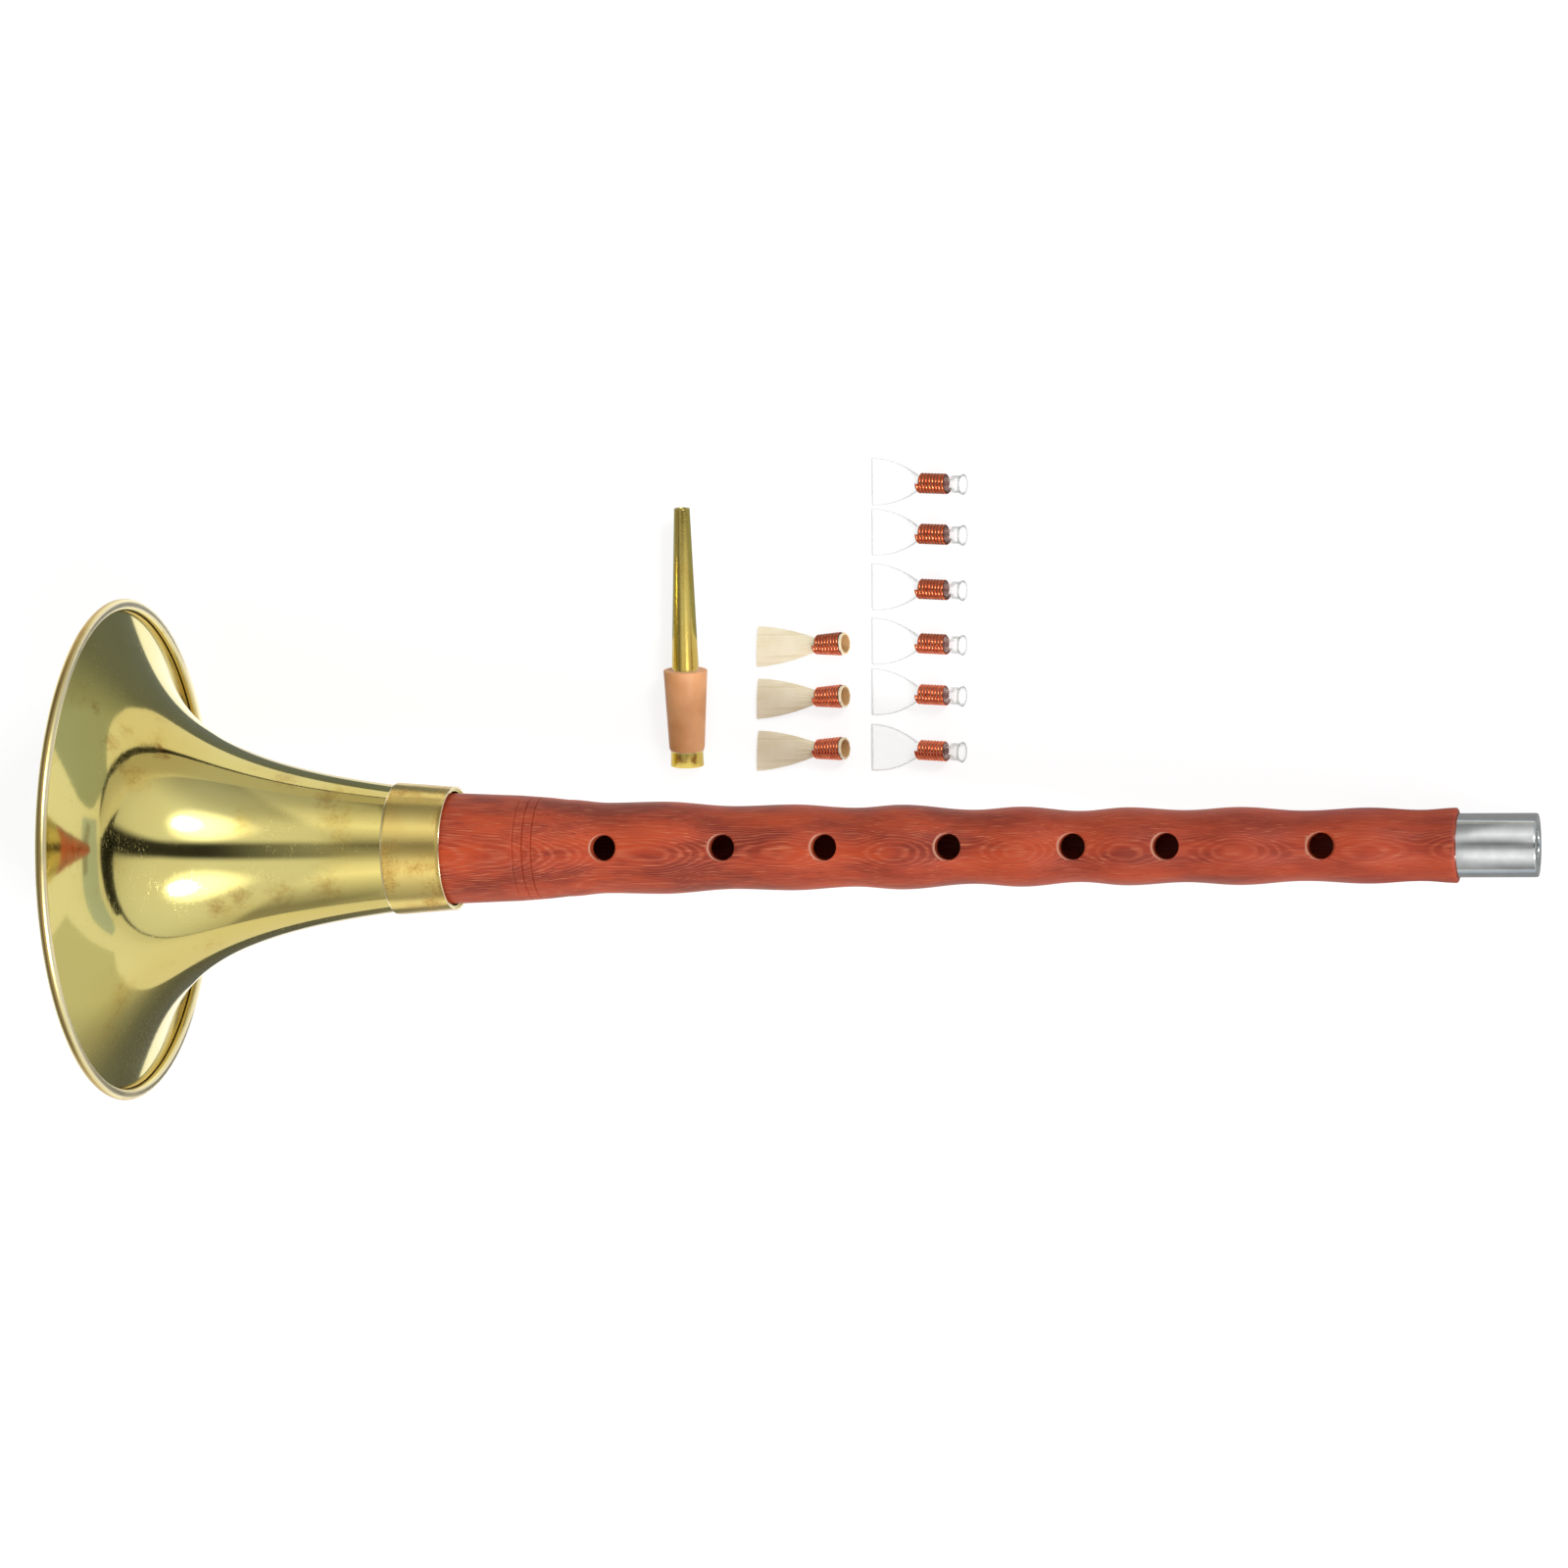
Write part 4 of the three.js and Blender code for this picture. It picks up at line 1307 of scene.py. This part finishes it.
@dataclass
class Winding:
    """One unbroken copper wire wound close round a reed's neck."""

    start: float
    stop: float
    first_radius: float  # outer radius at the start
    last_radius: float  # outer radius at the end
    turns: float
    wire: float  # the wire's own radius
    steps: int = 28
    segments: int = 10

    def mesh(self) -> BMesh:
        """Screws a round section along the axis, then spreads it to the taper.

        Returns:
            The closed wire, in millimetres, with a mark of painted shade low on each turn.
        """
        bm = bmesh.new()
        run = self.stop - self.start - 2 * self.wire
        count = round(self.turns * self.steps)
        core = self.first_radius - self.wire
        section = bmesh.ops.create_circle(
            bm, cap_ends=False, radius=self.wire, segments=self.segments
        )["verts"]
        shift = Matrix.Translation((self.start + self.wire, 0, core))
        upright = shift @ Matrix.Rotation(math.pi / 2, 4, "X")
        bmesh.ops.transform(bm, matrix=upright, verts=section)
        bmesh.ops.spin(
            bm,
            geom=bm.verts[:] + bm.edges[:],
            cent=(0, 0, 0),
            axis=(1, 0, 0),
            dvec=(run / count, 0, 0),
            angle=math.tau * self.turns,
            steps=count,
        )
        bmesh.ops.holes_fill(bm, edges=[e for e in bm.edges if e.is_boundary], sides=0)
        groove_shade = bm.verts.layers.float.new("groove_shade")
        for v in bm.verts:
            share = (v.co.x - self.start) / (self.stop - self.start)
            radius = math.hypot(v.co.y, v.co.z)
            # painted shade: the lower a point lies on the wire, the darker
            v[groove_shade] = min(1.0, max(0.0, 1.45 - 1.6 * (radius - core) / self.wire))
            spread = 1 + (self.last_radius - self.first_radius) * share / radius
            v.co.y *= spread
            v.co.z *= spread
        bmesh.ops.recalc_face_normals(bm, faces=bm.faces)
        return bm


def blade_mesh(
    stations: list[float],
    outer: Callable[[float, float], Vector],
    inner: Callable[[float, float], Vector],
    sides: int,
) -> BMesh:
    """Spins a two-walled tube and then presses it to a reed's blade.

    Args:
        stations: Distances from the tip at which the blade has a ring.
        outer: Gives a point of the outer face from its station and angle.
        inner: Gives a point of the inner face from its station and angle.
        sides: How many points each ring has.

    Returns:
        The closed blade, in millimetres, with a grain map and a mark on its bore.
    """
    wide, narrow = 2.0, 1.0
    outline = [(x, wide) for x in stations] + [(x, narrow) for x in reversed(stations)]
    bm = turned(outline, sides)
    bore = bm.verts.layers.float.new("bore")
    for v in bm.verts:
        angle = math.atan2(v.co.z, v.co.y)
        is_inner = math.hypot(v.co.y, v.co.z) < (wide + narrow) / 2
        v[bore] = 1.0 if is_inner else 0.0
        v.co = inner(v.co.x, angle) if is_inner else outer(v.co.x, angle)
    grain = bm.loops.layers.uv.new("grain")
    for face in bm.faces:
        for loop in face.loops:
            loop[grain].uv = (loop.vert.co.x, loop.vert.co.y)
    bmesh.ops.recalc_face_normals(bm, faces=bm.faces)
    return bm


class Reed:
    """What both kinds of reed share: their place in a row, how they lie, and their winding."""

    kind: str
    number: int
    layout: Layout
    x: float
    y: float
    turn: float
    length: float
    fan: Fan
    wire: float
    wire_radii: tuple[float, float]  # outer radii where the winding starts and ends
    wire_turns: float
    lean: float = -0.036  # how far the row shifts along the instrument
    wound: float = 0.8  # how far the solid winding stands off the neck

    @property
    def body(self) -> str:
        """The body that the reed's pieces ride on."""
        return f"{self.kind}_reed_{self.number}"

    def lying(self, solid: str, neck: float, run: float, mouth: float, drop: float) -> Place:
        """Lays the reed on its tip and on its winding.

        Args:
            solid: The solid whose top gives the height of the mouth.
            neck: Radius under the winding where it touches the floor.
            run: Distance from the tip to that place.
            mouth: Outer radius of the reed's end.
            drop: Distance from the row's first reed, in millimetres.

        Returns:
            The reed's frame.
        """
        rise = math.atan((neck + self.wound - self.fan.tip_half_height) / run)
        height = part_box(solid)[1].z / MM - self.length * math.sin(rise) - mouth * math.cos(rise)
        return self.layout.lying(self.x + self.lean * drop, self.y - drop, height, self.turn, rise)

    def bind(self, name: str, place: Place, start: float, stop: float) -> None:
        """Winds the copper wire on between two distances from the tip."""
        coil = Winding(start, stop, *self.wire_radii, self.wire_turns, self.wire).mesh()
        solid = f"{self.body}_winding"
        Finishes.WIRE.piece(f"{name}_{self.number}", coil, place, self.body, solid, sharp=80)


@dataclass
class CaneReed(Reed):
    """A cane reed: two leaves in one folded blade, bound with copper wire."""

    kind: ClassVar[str] = "cane"
    count: ClassVar[int] = 3
    number: int
    layout: Layout
    x: float = 154.5
    y: float = 47.6
    pitch: float = 13.75
    turn: float = 2.8
    length: float = 26.1
    lip_length: float = 0.6
    lip_radius: float = 2.95
    base_radius: float = 2.4
    mouth_radius: float = 2.3
    fan: Fan = field(default_factory=lambda: Fan(17.3, 5.3, 0.5, 1.85, 1.7, 0.13))
    wall: float = 0.25
    crease_angles: tuple[float, ...] = (28, 52, 74, 97, 121, 148)
    crease_depth: float = 0.3
    crease_length: float = 6.5
    crease_width: float = 4.5  # degrees
    crease_wander: float = 5.0  # degrees
    flattening: float = 0.35  # how much thinner the fan's sides are than its middle
    scallops: int = 9
    scallop_depth: float = 0.1
    wire_radii: tuple[float, float] = (2.58, 3.18)
    wire: float = 0.44
    wire_turns: float = 8.2
    sides: int = 120

    @property
    def winding_end(self) -> float:
        """Distance from the tip to the winding's end."""
        return self.length - self.lip_length

    def pressed(self, x: float, across: float, up: float, angle: float) -> Vector:
        """Flattens the fan's edges to a lens, and slants its tip."""
        tipward = max(0.0, 1 - x / self.fan.length)
        lens = 1 - self.flattening * abs(math.cos(angle)) ** 2 * tipward
        return Vector((x + self.fan.slant * tipward * across, across, up * lens))

    def sink(self, x: float, angle: float) -> float:
        """Gives how deep the creases are that the winding pulls into the neck."""
        nearness = max(0.0, 1 - abs(x - self.fan.length) / self.crease_length)
        crease = 0.0
        for i, degrees in enumerate(self.crease_angles):
            for side in (1, -1):
                wander = self.crease_wander * math.sin(i * 2.3 + self.number * 1.7 + side)
                away = math.degrees(angle) - side * (degrees + wander)
                crease = max(crease, math.exp(-((away / self.crease_width) ** 2)))
        return self.crease_depth * crease * nearness**1.3

    def outer(self, x: float, angle: float) -> Vector:
        """Gives a point on the outside of the blade, with its creases."""
        if x <= self.fan.length:
            width, height = self.fan.widths(x)
        else:
            share = min(1.0, (x - self.fan.length) / (self.winding_end - self.fan.length))
            width = height = self.fan.neck + (self.base_radius - self.fan.neck) * share
        if x > self.winding_end:
            scallop = self.scallop_depth * math.cos(angle * self.scallops + self.number)
            width = height = self.lip_radius - 0.12 + scallop
        sink = self.sink(x, angle)
        across, up = (width - sink * 0.4) * math.cos(angle), (height - sink) * math.sin(angle)
        return self.pressed(x, across, up, angle)

    def inner(self, x: float, angle: float) -> Vector:
        """Gives a point on the inside of the blade."""
        if x <= self.fan.length:
            width, height = self.fan.widths(x)
            width -= self.wall
            height = max(0.08, height - self.wall * 1.4)
        else:
            share = (x - self.fan.length) / (self.length - self.fan.length)
            first = self.fan.neck - self.wall
            width = height = first + (self.mouth_radius - first) * share**0.6
        return self.pressed(x, width * math.cos(angle), height * math.sin(angle), angle)

    def build(self) -> None:
        """Makes the blade and its winding."""
        body, end = self.body, self.winding_end
        blade = f"{body}_blade"
        drop = (self.number - 1) * self.pitch
        place = self.lying(blade, self.base_radius, end, self.lip_radius, drop)
        stations = self.fan.stations()
        stations += [self.fan.length + (end - self.fan.length) * i / 8 for i in range(1, 9)]
        stations += [end + 0.05, end + 0.3, self.length - 0.08, self.length]
        mesh = blade_mesh(stations, self.outer, self.inner, self.sides)
        Finishes.CANE.piece(f"cane_blade_{self.number}", mesh, place, body, blade, sharp=50)
        self.bind("cane_wire", place, self.fan.length - 0.1, end)


@dataclass
class PlasticReed(Reed):
    """A clear plastic reed: a moulded blade on a clear staple, bound with copper wire."""

    kind: ClassVar[str] = "plastic"
    count: ClassVar[int] = 6
    number: int
    layout: Layout
    x: float = 188.4
    y: float = 90.9
    row: float = 69.4
    row_shares: tuple[float, ...] = (0, 0.189, 0.395, 0.599, 0.79, 1)
    turn: float = -1.5
    length: float = 26.5
    winding_length: float = 8.6
    wire_radii: tuple[float, float] = (2.68, 2.68)
    wire: float = 0.45
    wire_turns: float = 8.4
    skirt_length: float = 0.8
    skirt_radius: float = 2.3
    rim: float = 0.5  # how wide the faint outline is
    fan: Fan = field(default_factory=lambda: Fan(13.6, 6.19, 0.35, 1.95, 2.2, 0.0))
    wall: float = 0.2
    staple_wall: float = 0.3
    staple_insertion: float = 7.0
    staple_radius: float = 2.3
    staple_mouth: float = 2.75
    flare_length: float = 1.0
    sides: int = 96
    staple_sides: int = 72

    @property
    def winding_end(self) -> float:
        """Distance from the tip to the winding's end."""
        return self.fan.length + self.winding_length

    @property
    def skirt_end(self) -> float:
        """Distance from the tip to the blade's end."""
        return self.winding_end + self.skirt_length

    def ring(self, x: float, angle: float, inset: float) -> Vector:
        """Gives a point of the blade, set in by a wall."""
        if x <= self.fan.length:
            width, height = self.fan.widths(x)
        else:
            beyond = max(0.0, (x - self.winding_end) / self.skirt_length)
            width = height = self.fan.neck + (self.skirt_radius - self.fan.neck) * min(1.0, beyond)
        across = (width - inset) * math.cos(angle)
        return Vector((x, across, (max(inset * 1.3, height) - inset) * math.sin(angle)))

    def outer(self, x: float, angle: float) -> Vector:
        """Gives a point on the outside of the blade."""
        return self.ring(x, angle, 0.0)

    def inner(self, x: float, angle: float) -> Vector:
        """Gives a point on the inside of the blade."""
        return self.ring(x, angle, self.wall)

    def rim_mark(self, spot: Vector) -> float:
        """Marks the fan's thin edges and its tip, which show as a faint outline."""
        if spot.x > self.fan.length:
            return 0.0
        to_side = self.fan.widths(spot.x)[0] - abs(spot.y)
        return max(0.0, 1.0 - to_side / self.rim, 1.0 - spot.x / self.rim)

    def copper_reflection_mark(self, spot: Vector) -> float:
        """Marks the plastic on which the copper's reflection is painted."""
        return 1.0 if self.fan.length + 1.0 < spot.x < self.skirt_end + 0.2 else 0.0

    def staple_outline(self) -> Outline:
        """Gives the section of the clear tube with its flared mouth."""
        tube = self.fan.neck - self.wall - 0.3
        shoulder = self.skirt_end + 0.3
        flare = self.length - self.flare_length
        wall = self.staple_wall
        return rounded(
            [
                (shoulder - self.staple_insertion, tube - wall, 0.0),
                (shoulder - self.staple_insertion, tube, 0.1),
                (shoulder, tube, 0.1),
                (shoulder + 0.35, self.staple_radius, 0.2),
                (flare, self.staple_radius, 0.3),
                (self.length, self.staple_mouth, 0.12),
                (self.length, self.staple_mouth - wall, 0.12),
                (flare, self.staple_radius - wall, 0.3),
                (shoulder + 0.35 + wall, self.staple_radius - wall, 0.2),
                (shoulder + wall, tube - wall, 0.1),
            ]
        )

    def build(self) -> None:
        """Makes the blade, the staple and the winding."""
        body, end = self.body, self.winding_end
        tube = f"{body}_staple"
        drop = self.row_shares[self.number - 1] * self.row
        place = self.lying(tube, self.fan.neck, end, self.staple_mouth, drop)
        stations = self.fan.stations()
        stations += [self.fan.length + self.winding_length * i / 6 for i in range(1, 7)]
        stations += [end + self.skirt_length * i / 3 for i in range(1, 4)]
        mesh = blade_mesh(stations, self.outer, self.inner, self.sides)
        marked(mesh, "rim", self.rim_mark)
        marked(mesh, "skirt", self.copper_reflection_mark)
        name = f"clear_blade_{self.number}"
        blade = Finishes.CLEAR_BLADE.piece(name, mesh, place, body, f"{body}_blade", sharp=50)
        mesh = turned(self.staple_outline(), self.staple_sides)
        marked(mesh, "rim", lambda spot: 0.8 if spot.x > self.length - 0.4 else 0.0)
        marked(mesh, "skirt", self.copper_reflection_mark)
        staple = Finishes.CLEAR.piece(f"clear_staple_{self.number}", mesh, place, body, tube)
        blade.visible_shadow = staple.visible_shadow = False
        self.bind("clear_wire", place, self.fan.length, end)


@dataclass
class Studio:
    """The board that everything lies on, the lights and the camera."""

    layout: Layout
    board: float = 3.2
    lens: float = 128.475
    eye_mm: tuple[float, float, float] = (716.03, 194.09, 1350.76)
    right: tuple[float, float, float] = (0.92589252, -0.03508644, -0.3761542)
    up: tuple[float, float, float] = (-0.01452191, 0.99163659, -0.12824188)
    back: tuple[float, float, float] = (0.37750782, 0.12420067, 0.91763938)
    lamp_turn: float = 40.5  # degrees from the instrument's own direction, to either side
    lamp_rise: float = 40.3
    lamp_distance: float = 1.3
    lamp_size: float = 0.26
    lamp_powers: tuple[float, float] = (8.0, 5.4)
    lamp_halo: float = 1.4
    tent_far: float = 0.42
    tent_near: float = 0.88
    tent_left: float = 0.62  # how bright the tent is on the left, as a share of the right
    tent_behind: float = 0.8
    slot_side: float = 0.09
    skirting: tuple[float, float] = (0.01, 0.035)
    skirting_light: float = 0.04
    skirting_drops: tuple[float, float] = (0.07, 0.5)  # how it sinks out of sight to -Y and +Y
    gap: tuple[float, float] = (-0.49, 0.13)
    bands: tuple[tuple[float, str], ...] = (
        (-105, "#969696"), (-81, "#888888"), (-66, "#B0B0B0"), (-50, "#D7D7D7"), (-34, "#FFFFFF"),
        (-18, "#E9E9E9"), (-2, "#A2A2A2"), (14, "#6E6E6E"), (30, "#CACACA"), (46, "#F8F8F8"),
        (62, "#D8D8D8"), (77, "#B3B3B3"), (105, "#969696"),
    )
    band_power: float = 1.3
    band_station: float = 0.03
    reflection_card_height: float = 0.3
    reflection_cards: tuple[tuple[Finishes, tuple[tuple[float, float], ...]], ...] = (
        (Finishes.PALE_CARD, ((0, -1500), (2000, -1500), (2000, 1500), (0, 1500))),
        (Finishes.SIDE_CARD, (
            (-300, 207), (140, 207), (225, 195), (301, 167), (432, 131), (560, 93), (760, 20),
            (1500, 300), (1500, 1500), (-300, 1500),
        )),
        (Finishes.BLACK_CARD, (
            (560, 88), (430, 125), (300, 162), (224, 190), (140, 202), (-60, 202), (-60, 207),
            (140, 207), (225, 195), (301, 167), (432, 131), (561, 94),
        )),
        (Finishes.BLACK_CARD, (
            (690, 60), (737, 6), (845, -147), (919, -317), (1000, -480), (2600, -1300), (2600, 900),
            (760, 60),
        )),
        (Finishes.WHITE_CARD, ((-300, -300), (5, -300), (5, 300), (-300, 300))),
        (Finishes.FAR_CARD, (
            (276, 43), (311, -3), (315, -33), (303, -74), (307, -121), (381, -233), (520, -300),
            (647, -312), (610, -169), (652, -72), (623, 4), (456, 80),
        )),
        (Finishes.UPPER_CARD, (
            (2, 38), (2, 78), (21, 79), (33, 84), (49, 91), (81, 98), (114, 103), (162, 114),
            (273, 141), (322, 137), (348, 121), (353, 106), (350, 92), (337, 77), (312, 67),
            (280, 60), (227, 52), (155, 50), (100, 48), (20, 38),
        )),
        (Finishes.LOWER_CARD, (
            (-10, -55), (2, -84), (6, -100), (15, -112), (41, -123), (75, -136), (113, -148),
            (172, -165), (252, -194), (246, -160), (234, -133), (209, -88), (188, -59),
            (155, -58), (100, -56), (40, -54),
        )),
        (Finishes.DARK_CARD, ((322, -46), (322, 46), (378, 46), (378, -46))),
    )
    foot_card: tuple[float, ...] = (122.0, 148.0, 14.6, 22.0)  # stations, side and height of a glowing white card that paints a reflection on the staff's foot

    def build_board(self) -> None:
        """Lays the board under the set."""
        bm = bmesh.new()
        bmesh.ops.create_grid(bm, x_segments=2, y_segments=2, size=self.board / 2 / MM)
        Finishes.BOARD.piece("board", bm, Place(Matrix.Identity(4)))

    def build_reflection_cards(self) -> None:
        """Lays glowing cards round the instrument that only its polish shows: painted reflections,
        as bands on the brass.
        """
        place = Place(Matrix.Translation(Vector((self.layout.origin.x, self.layout.origin.y, 0))))
        cards = []
        for number, (card, corners) in enumerate(self.reflection_cards):
            height = self.reflection_card_height * (1 + number / 4)
            cards.append((f"flag_{number}", card, [(x, y, height) for x, y in corners]))
        first, last, side, top = self.foot_card
        corners = [(first, side, 0.5), (last, side, 0.5), (last, side, top), (first, side, top)]
        cards.append(("foot_reflection_card", Finishes.WHITE_CARD, corners))
        for name, card, corners in cards:
            bm = bmesh.new()
            bmesh.ops.contextual_create(bm, geom=[bm.verts.new(corner) for corner in corners])
            bmesh.ops.triangulate(bm, faces=bm.faces)
            reflection_card = card.piece(name, bm, place)
            for kind in ("camera", "diffuse", "transmission", "shadow"):
                setattr(reflection_card, f"visible_{kind}", False)
            reflection_card.data.materials[0].cycles.emission_sampling = "NONE"

    def towards(self, side: int) -> Vector:
        """Gives the direction of the lamp on one side, -1 or 1."""
        turn, rise = math.radians(self.lamp_turn * side), math.radians(self.lamp_rise)
        level = math.cos(rise)
        return Vector((level * math.cos(turn), level * math.sin(turn), math.sin(rise)))

    def build_lights(self) -> None:
        """Hangs the two round soft boxes that give the bell its hot spots."""
        for side, power in zip((-1, 1), self.lamp_powers):
            data = bpy.data.lights.new(f"soft_box_{side}", "AREA")
            data.shape = "DISK"
            data.size = self.lamp_size
            data.energy = power
            light = bpy.data.objects.new(data.name, data)
            light.location = self.towards(side) * self.lamp_distance
            light.rotation_euler = self.towards(side).to_track_quat("Z", "Y").to_euler()
            bpy.context.scene.collection.objects.link(light)

    def glow(self, nodes: Nodes, view: Socket) -> Socket:
        """Lays the tent's brightness in a direction, which falls off away from each soft box."""
        lamps = [nodes.vector("DOT_PRODUCT", view, self.towards(side)) for side in (-1, 1)]
        near = nodes.maths("MAXIMUM", *lamps)
        spread = nodes.span(near, 0.3, 0.96, self.tent_far, self.tent_near, soft=True)
        halo = nodes.span(near, 0.945, 1.0, 0.0, self.lamp_halo, soft=True)
        behind = nodes.span(nodes.part(view, "X"), -0.45, 0.05, self.tent_behind, 1.0, soft=True)
        left = nodes.span(nodes.part(view, "Y"), 0.6, 0.9, 1.0, self.tent_left, soft=True)
        sides = nodes.maths("MULTIPLY", behind, left)
        return nodes.maths("MULTIPLY", nodes.maths("ADD", spread, halo), sides)

    def slot(self, nodes: Nodes, view: Socket) -> Socket:
        """Lays the share of light that the dark slot over the instrument lets back."""
        ahead = nodes.part(view, "X")
        width = nodes.span(ahead, 0.2, 0.85, 0.3, 0.15)
        share = nodes.maths("DIVIDE", nodes.off(nodes.part(view, "Y"), self.slot_side), width)
        depth = nodes.span(ahead, -0.4, 0.62, 1.0, 0.035, soft=True)
        return nodes.weigh(nodes.span(share, 0.4, 1.0, soft=True), depth, 1.0)

    def panels(self, nodes: Nodes, view: Socket, tent: Socket) -> Socket:
        """Lays the overhead panels that run along the instrument, and the gap between two of them.

        Args:
            nodes: The world's nodes.
            view: The direction that is looked in.
            tent: The tent's brightness so far.

        Returns:
            The socket of the brightness with the panels.
        """
        side = nodes.maths("ARCTAN2", nodes.part(view, "Y"), nodes.part(view, "Z"))
        share = nodes.span(side, -math.pi, math.pi)
        band = nodes.ramp(share, *(((angle + 180) / 360, code) for angle, code in self.bands))
        ahead = nodes.part(view, "X")
        reach = nodes.span(nodes.off(ahead, self.band_station), 0.16, 0.09, soft=True)
        panelled = nodes.weigh(reach, tent, nodes.maths("MULTIPLY", band, self.band_power))
        middle, width = self.gap
        let_in = nodes.span(nodes.off(ahead, middle), 0.0, width, 0.3, 1.0, soft=True)
        return nodes.maths("MULTIPLY", panelled, let_in)

    def build_world(self) -> None:
        """Surrounds the set with a white tent, with a dark slot above and a skirting below."""
        world = bpy.data.worlds.new("tent")
        world.use_nodes = True
        nodes = Nodes(world.node_tree)
        view = add(nodes.tree, "ShaderNodeTexCoord").outputs["Generated"]
        across = nodes.part(view, "Y")
        slopes = zip((-1, 1), self.skirting_drops)
        drops = [nodes.maths("MULTIPLY", across, sign * drop) for sign, drop in slopes]
        height = nodes.maths("ADD", nodes.maths("MAXIMUM", *drops), nodes.part(view, "Z"))
        skirting = nodes.span(height, *self.skirting, self.skirting_light, 1.0, soft=True)
        lit = nodes.maths("MULTIPLY", self.glow(nodes, view), self.slot(nodes, view))
        tent = nodes.maths("MULTIPLY", self.panels(nodes, view, lit), skirting)
        background = nodes.tree.nodes["Background"]
        background.inputs["Color"].default_value = srgb("#FFFFFF")
        plug(nodes.tree, nodes.weigh(nodes.camera_ray(), tent, 1.0), background.inputs["Strength"])
        bpy.context.scene.world = world

    def build_camera(self) -> None:
        """Puts the camera where the photograph was taken from."""
        data = bpy.data.cameras.new("camera")
        data.sensor_fit = "HORIZONTAL"
        data.sensor_width = 36.0
        data.lens = self.lens
        camera = bpy.data.objects.new("camera", data)
        turn = Matrix((self.right, self.up, self.back)).transposed().to_4x4()
        eye = Vector(self.eye_mm) * MM
        spot = Vector((eye.x + self.layout.origin.x, eye.y + self.layout.origin.y, eye.z))
        camera.matrix_world = Matrix.Translation(spot) @ turn
        bpy.context.scene.collection.objects.link(camera)
        bpy.context.scene.camera = camera

    def build(self) -> None:
        """Makes the camera, the board, the lights and the surroundings, in plain colours."""
        bpy.context.scene.view_settings.view_transform = "Standard"
        self.build_camera()
        self.build_board()
        self.build_reflection_cards()
        self.build_lights()
        self.build_world()


def main() -> None:
    """Builds the set's pieces in order."""
    logging.basicConfig(level=logging.INFO, format="%(name)s %(message)s")
    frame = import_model()
    pipe_length = Pipe.start + Pipe.length + Pipe.ferrule_gap + Pipe.ferrule_length
    place = instrument_place(frame, pipe_length)
    layout = Layout(place.matrix.to_translation())
    Studio(layout).build()
    Bell(place).build(frame["nodes"])
    Pipe(place).build()
    Staff(layout).build()
    for kind in (CaneReed, PlasticReed):
        for number in range(1, kind.count + 1):
            kind(number, layout).build()


if __name__ == "__main__":
    main()
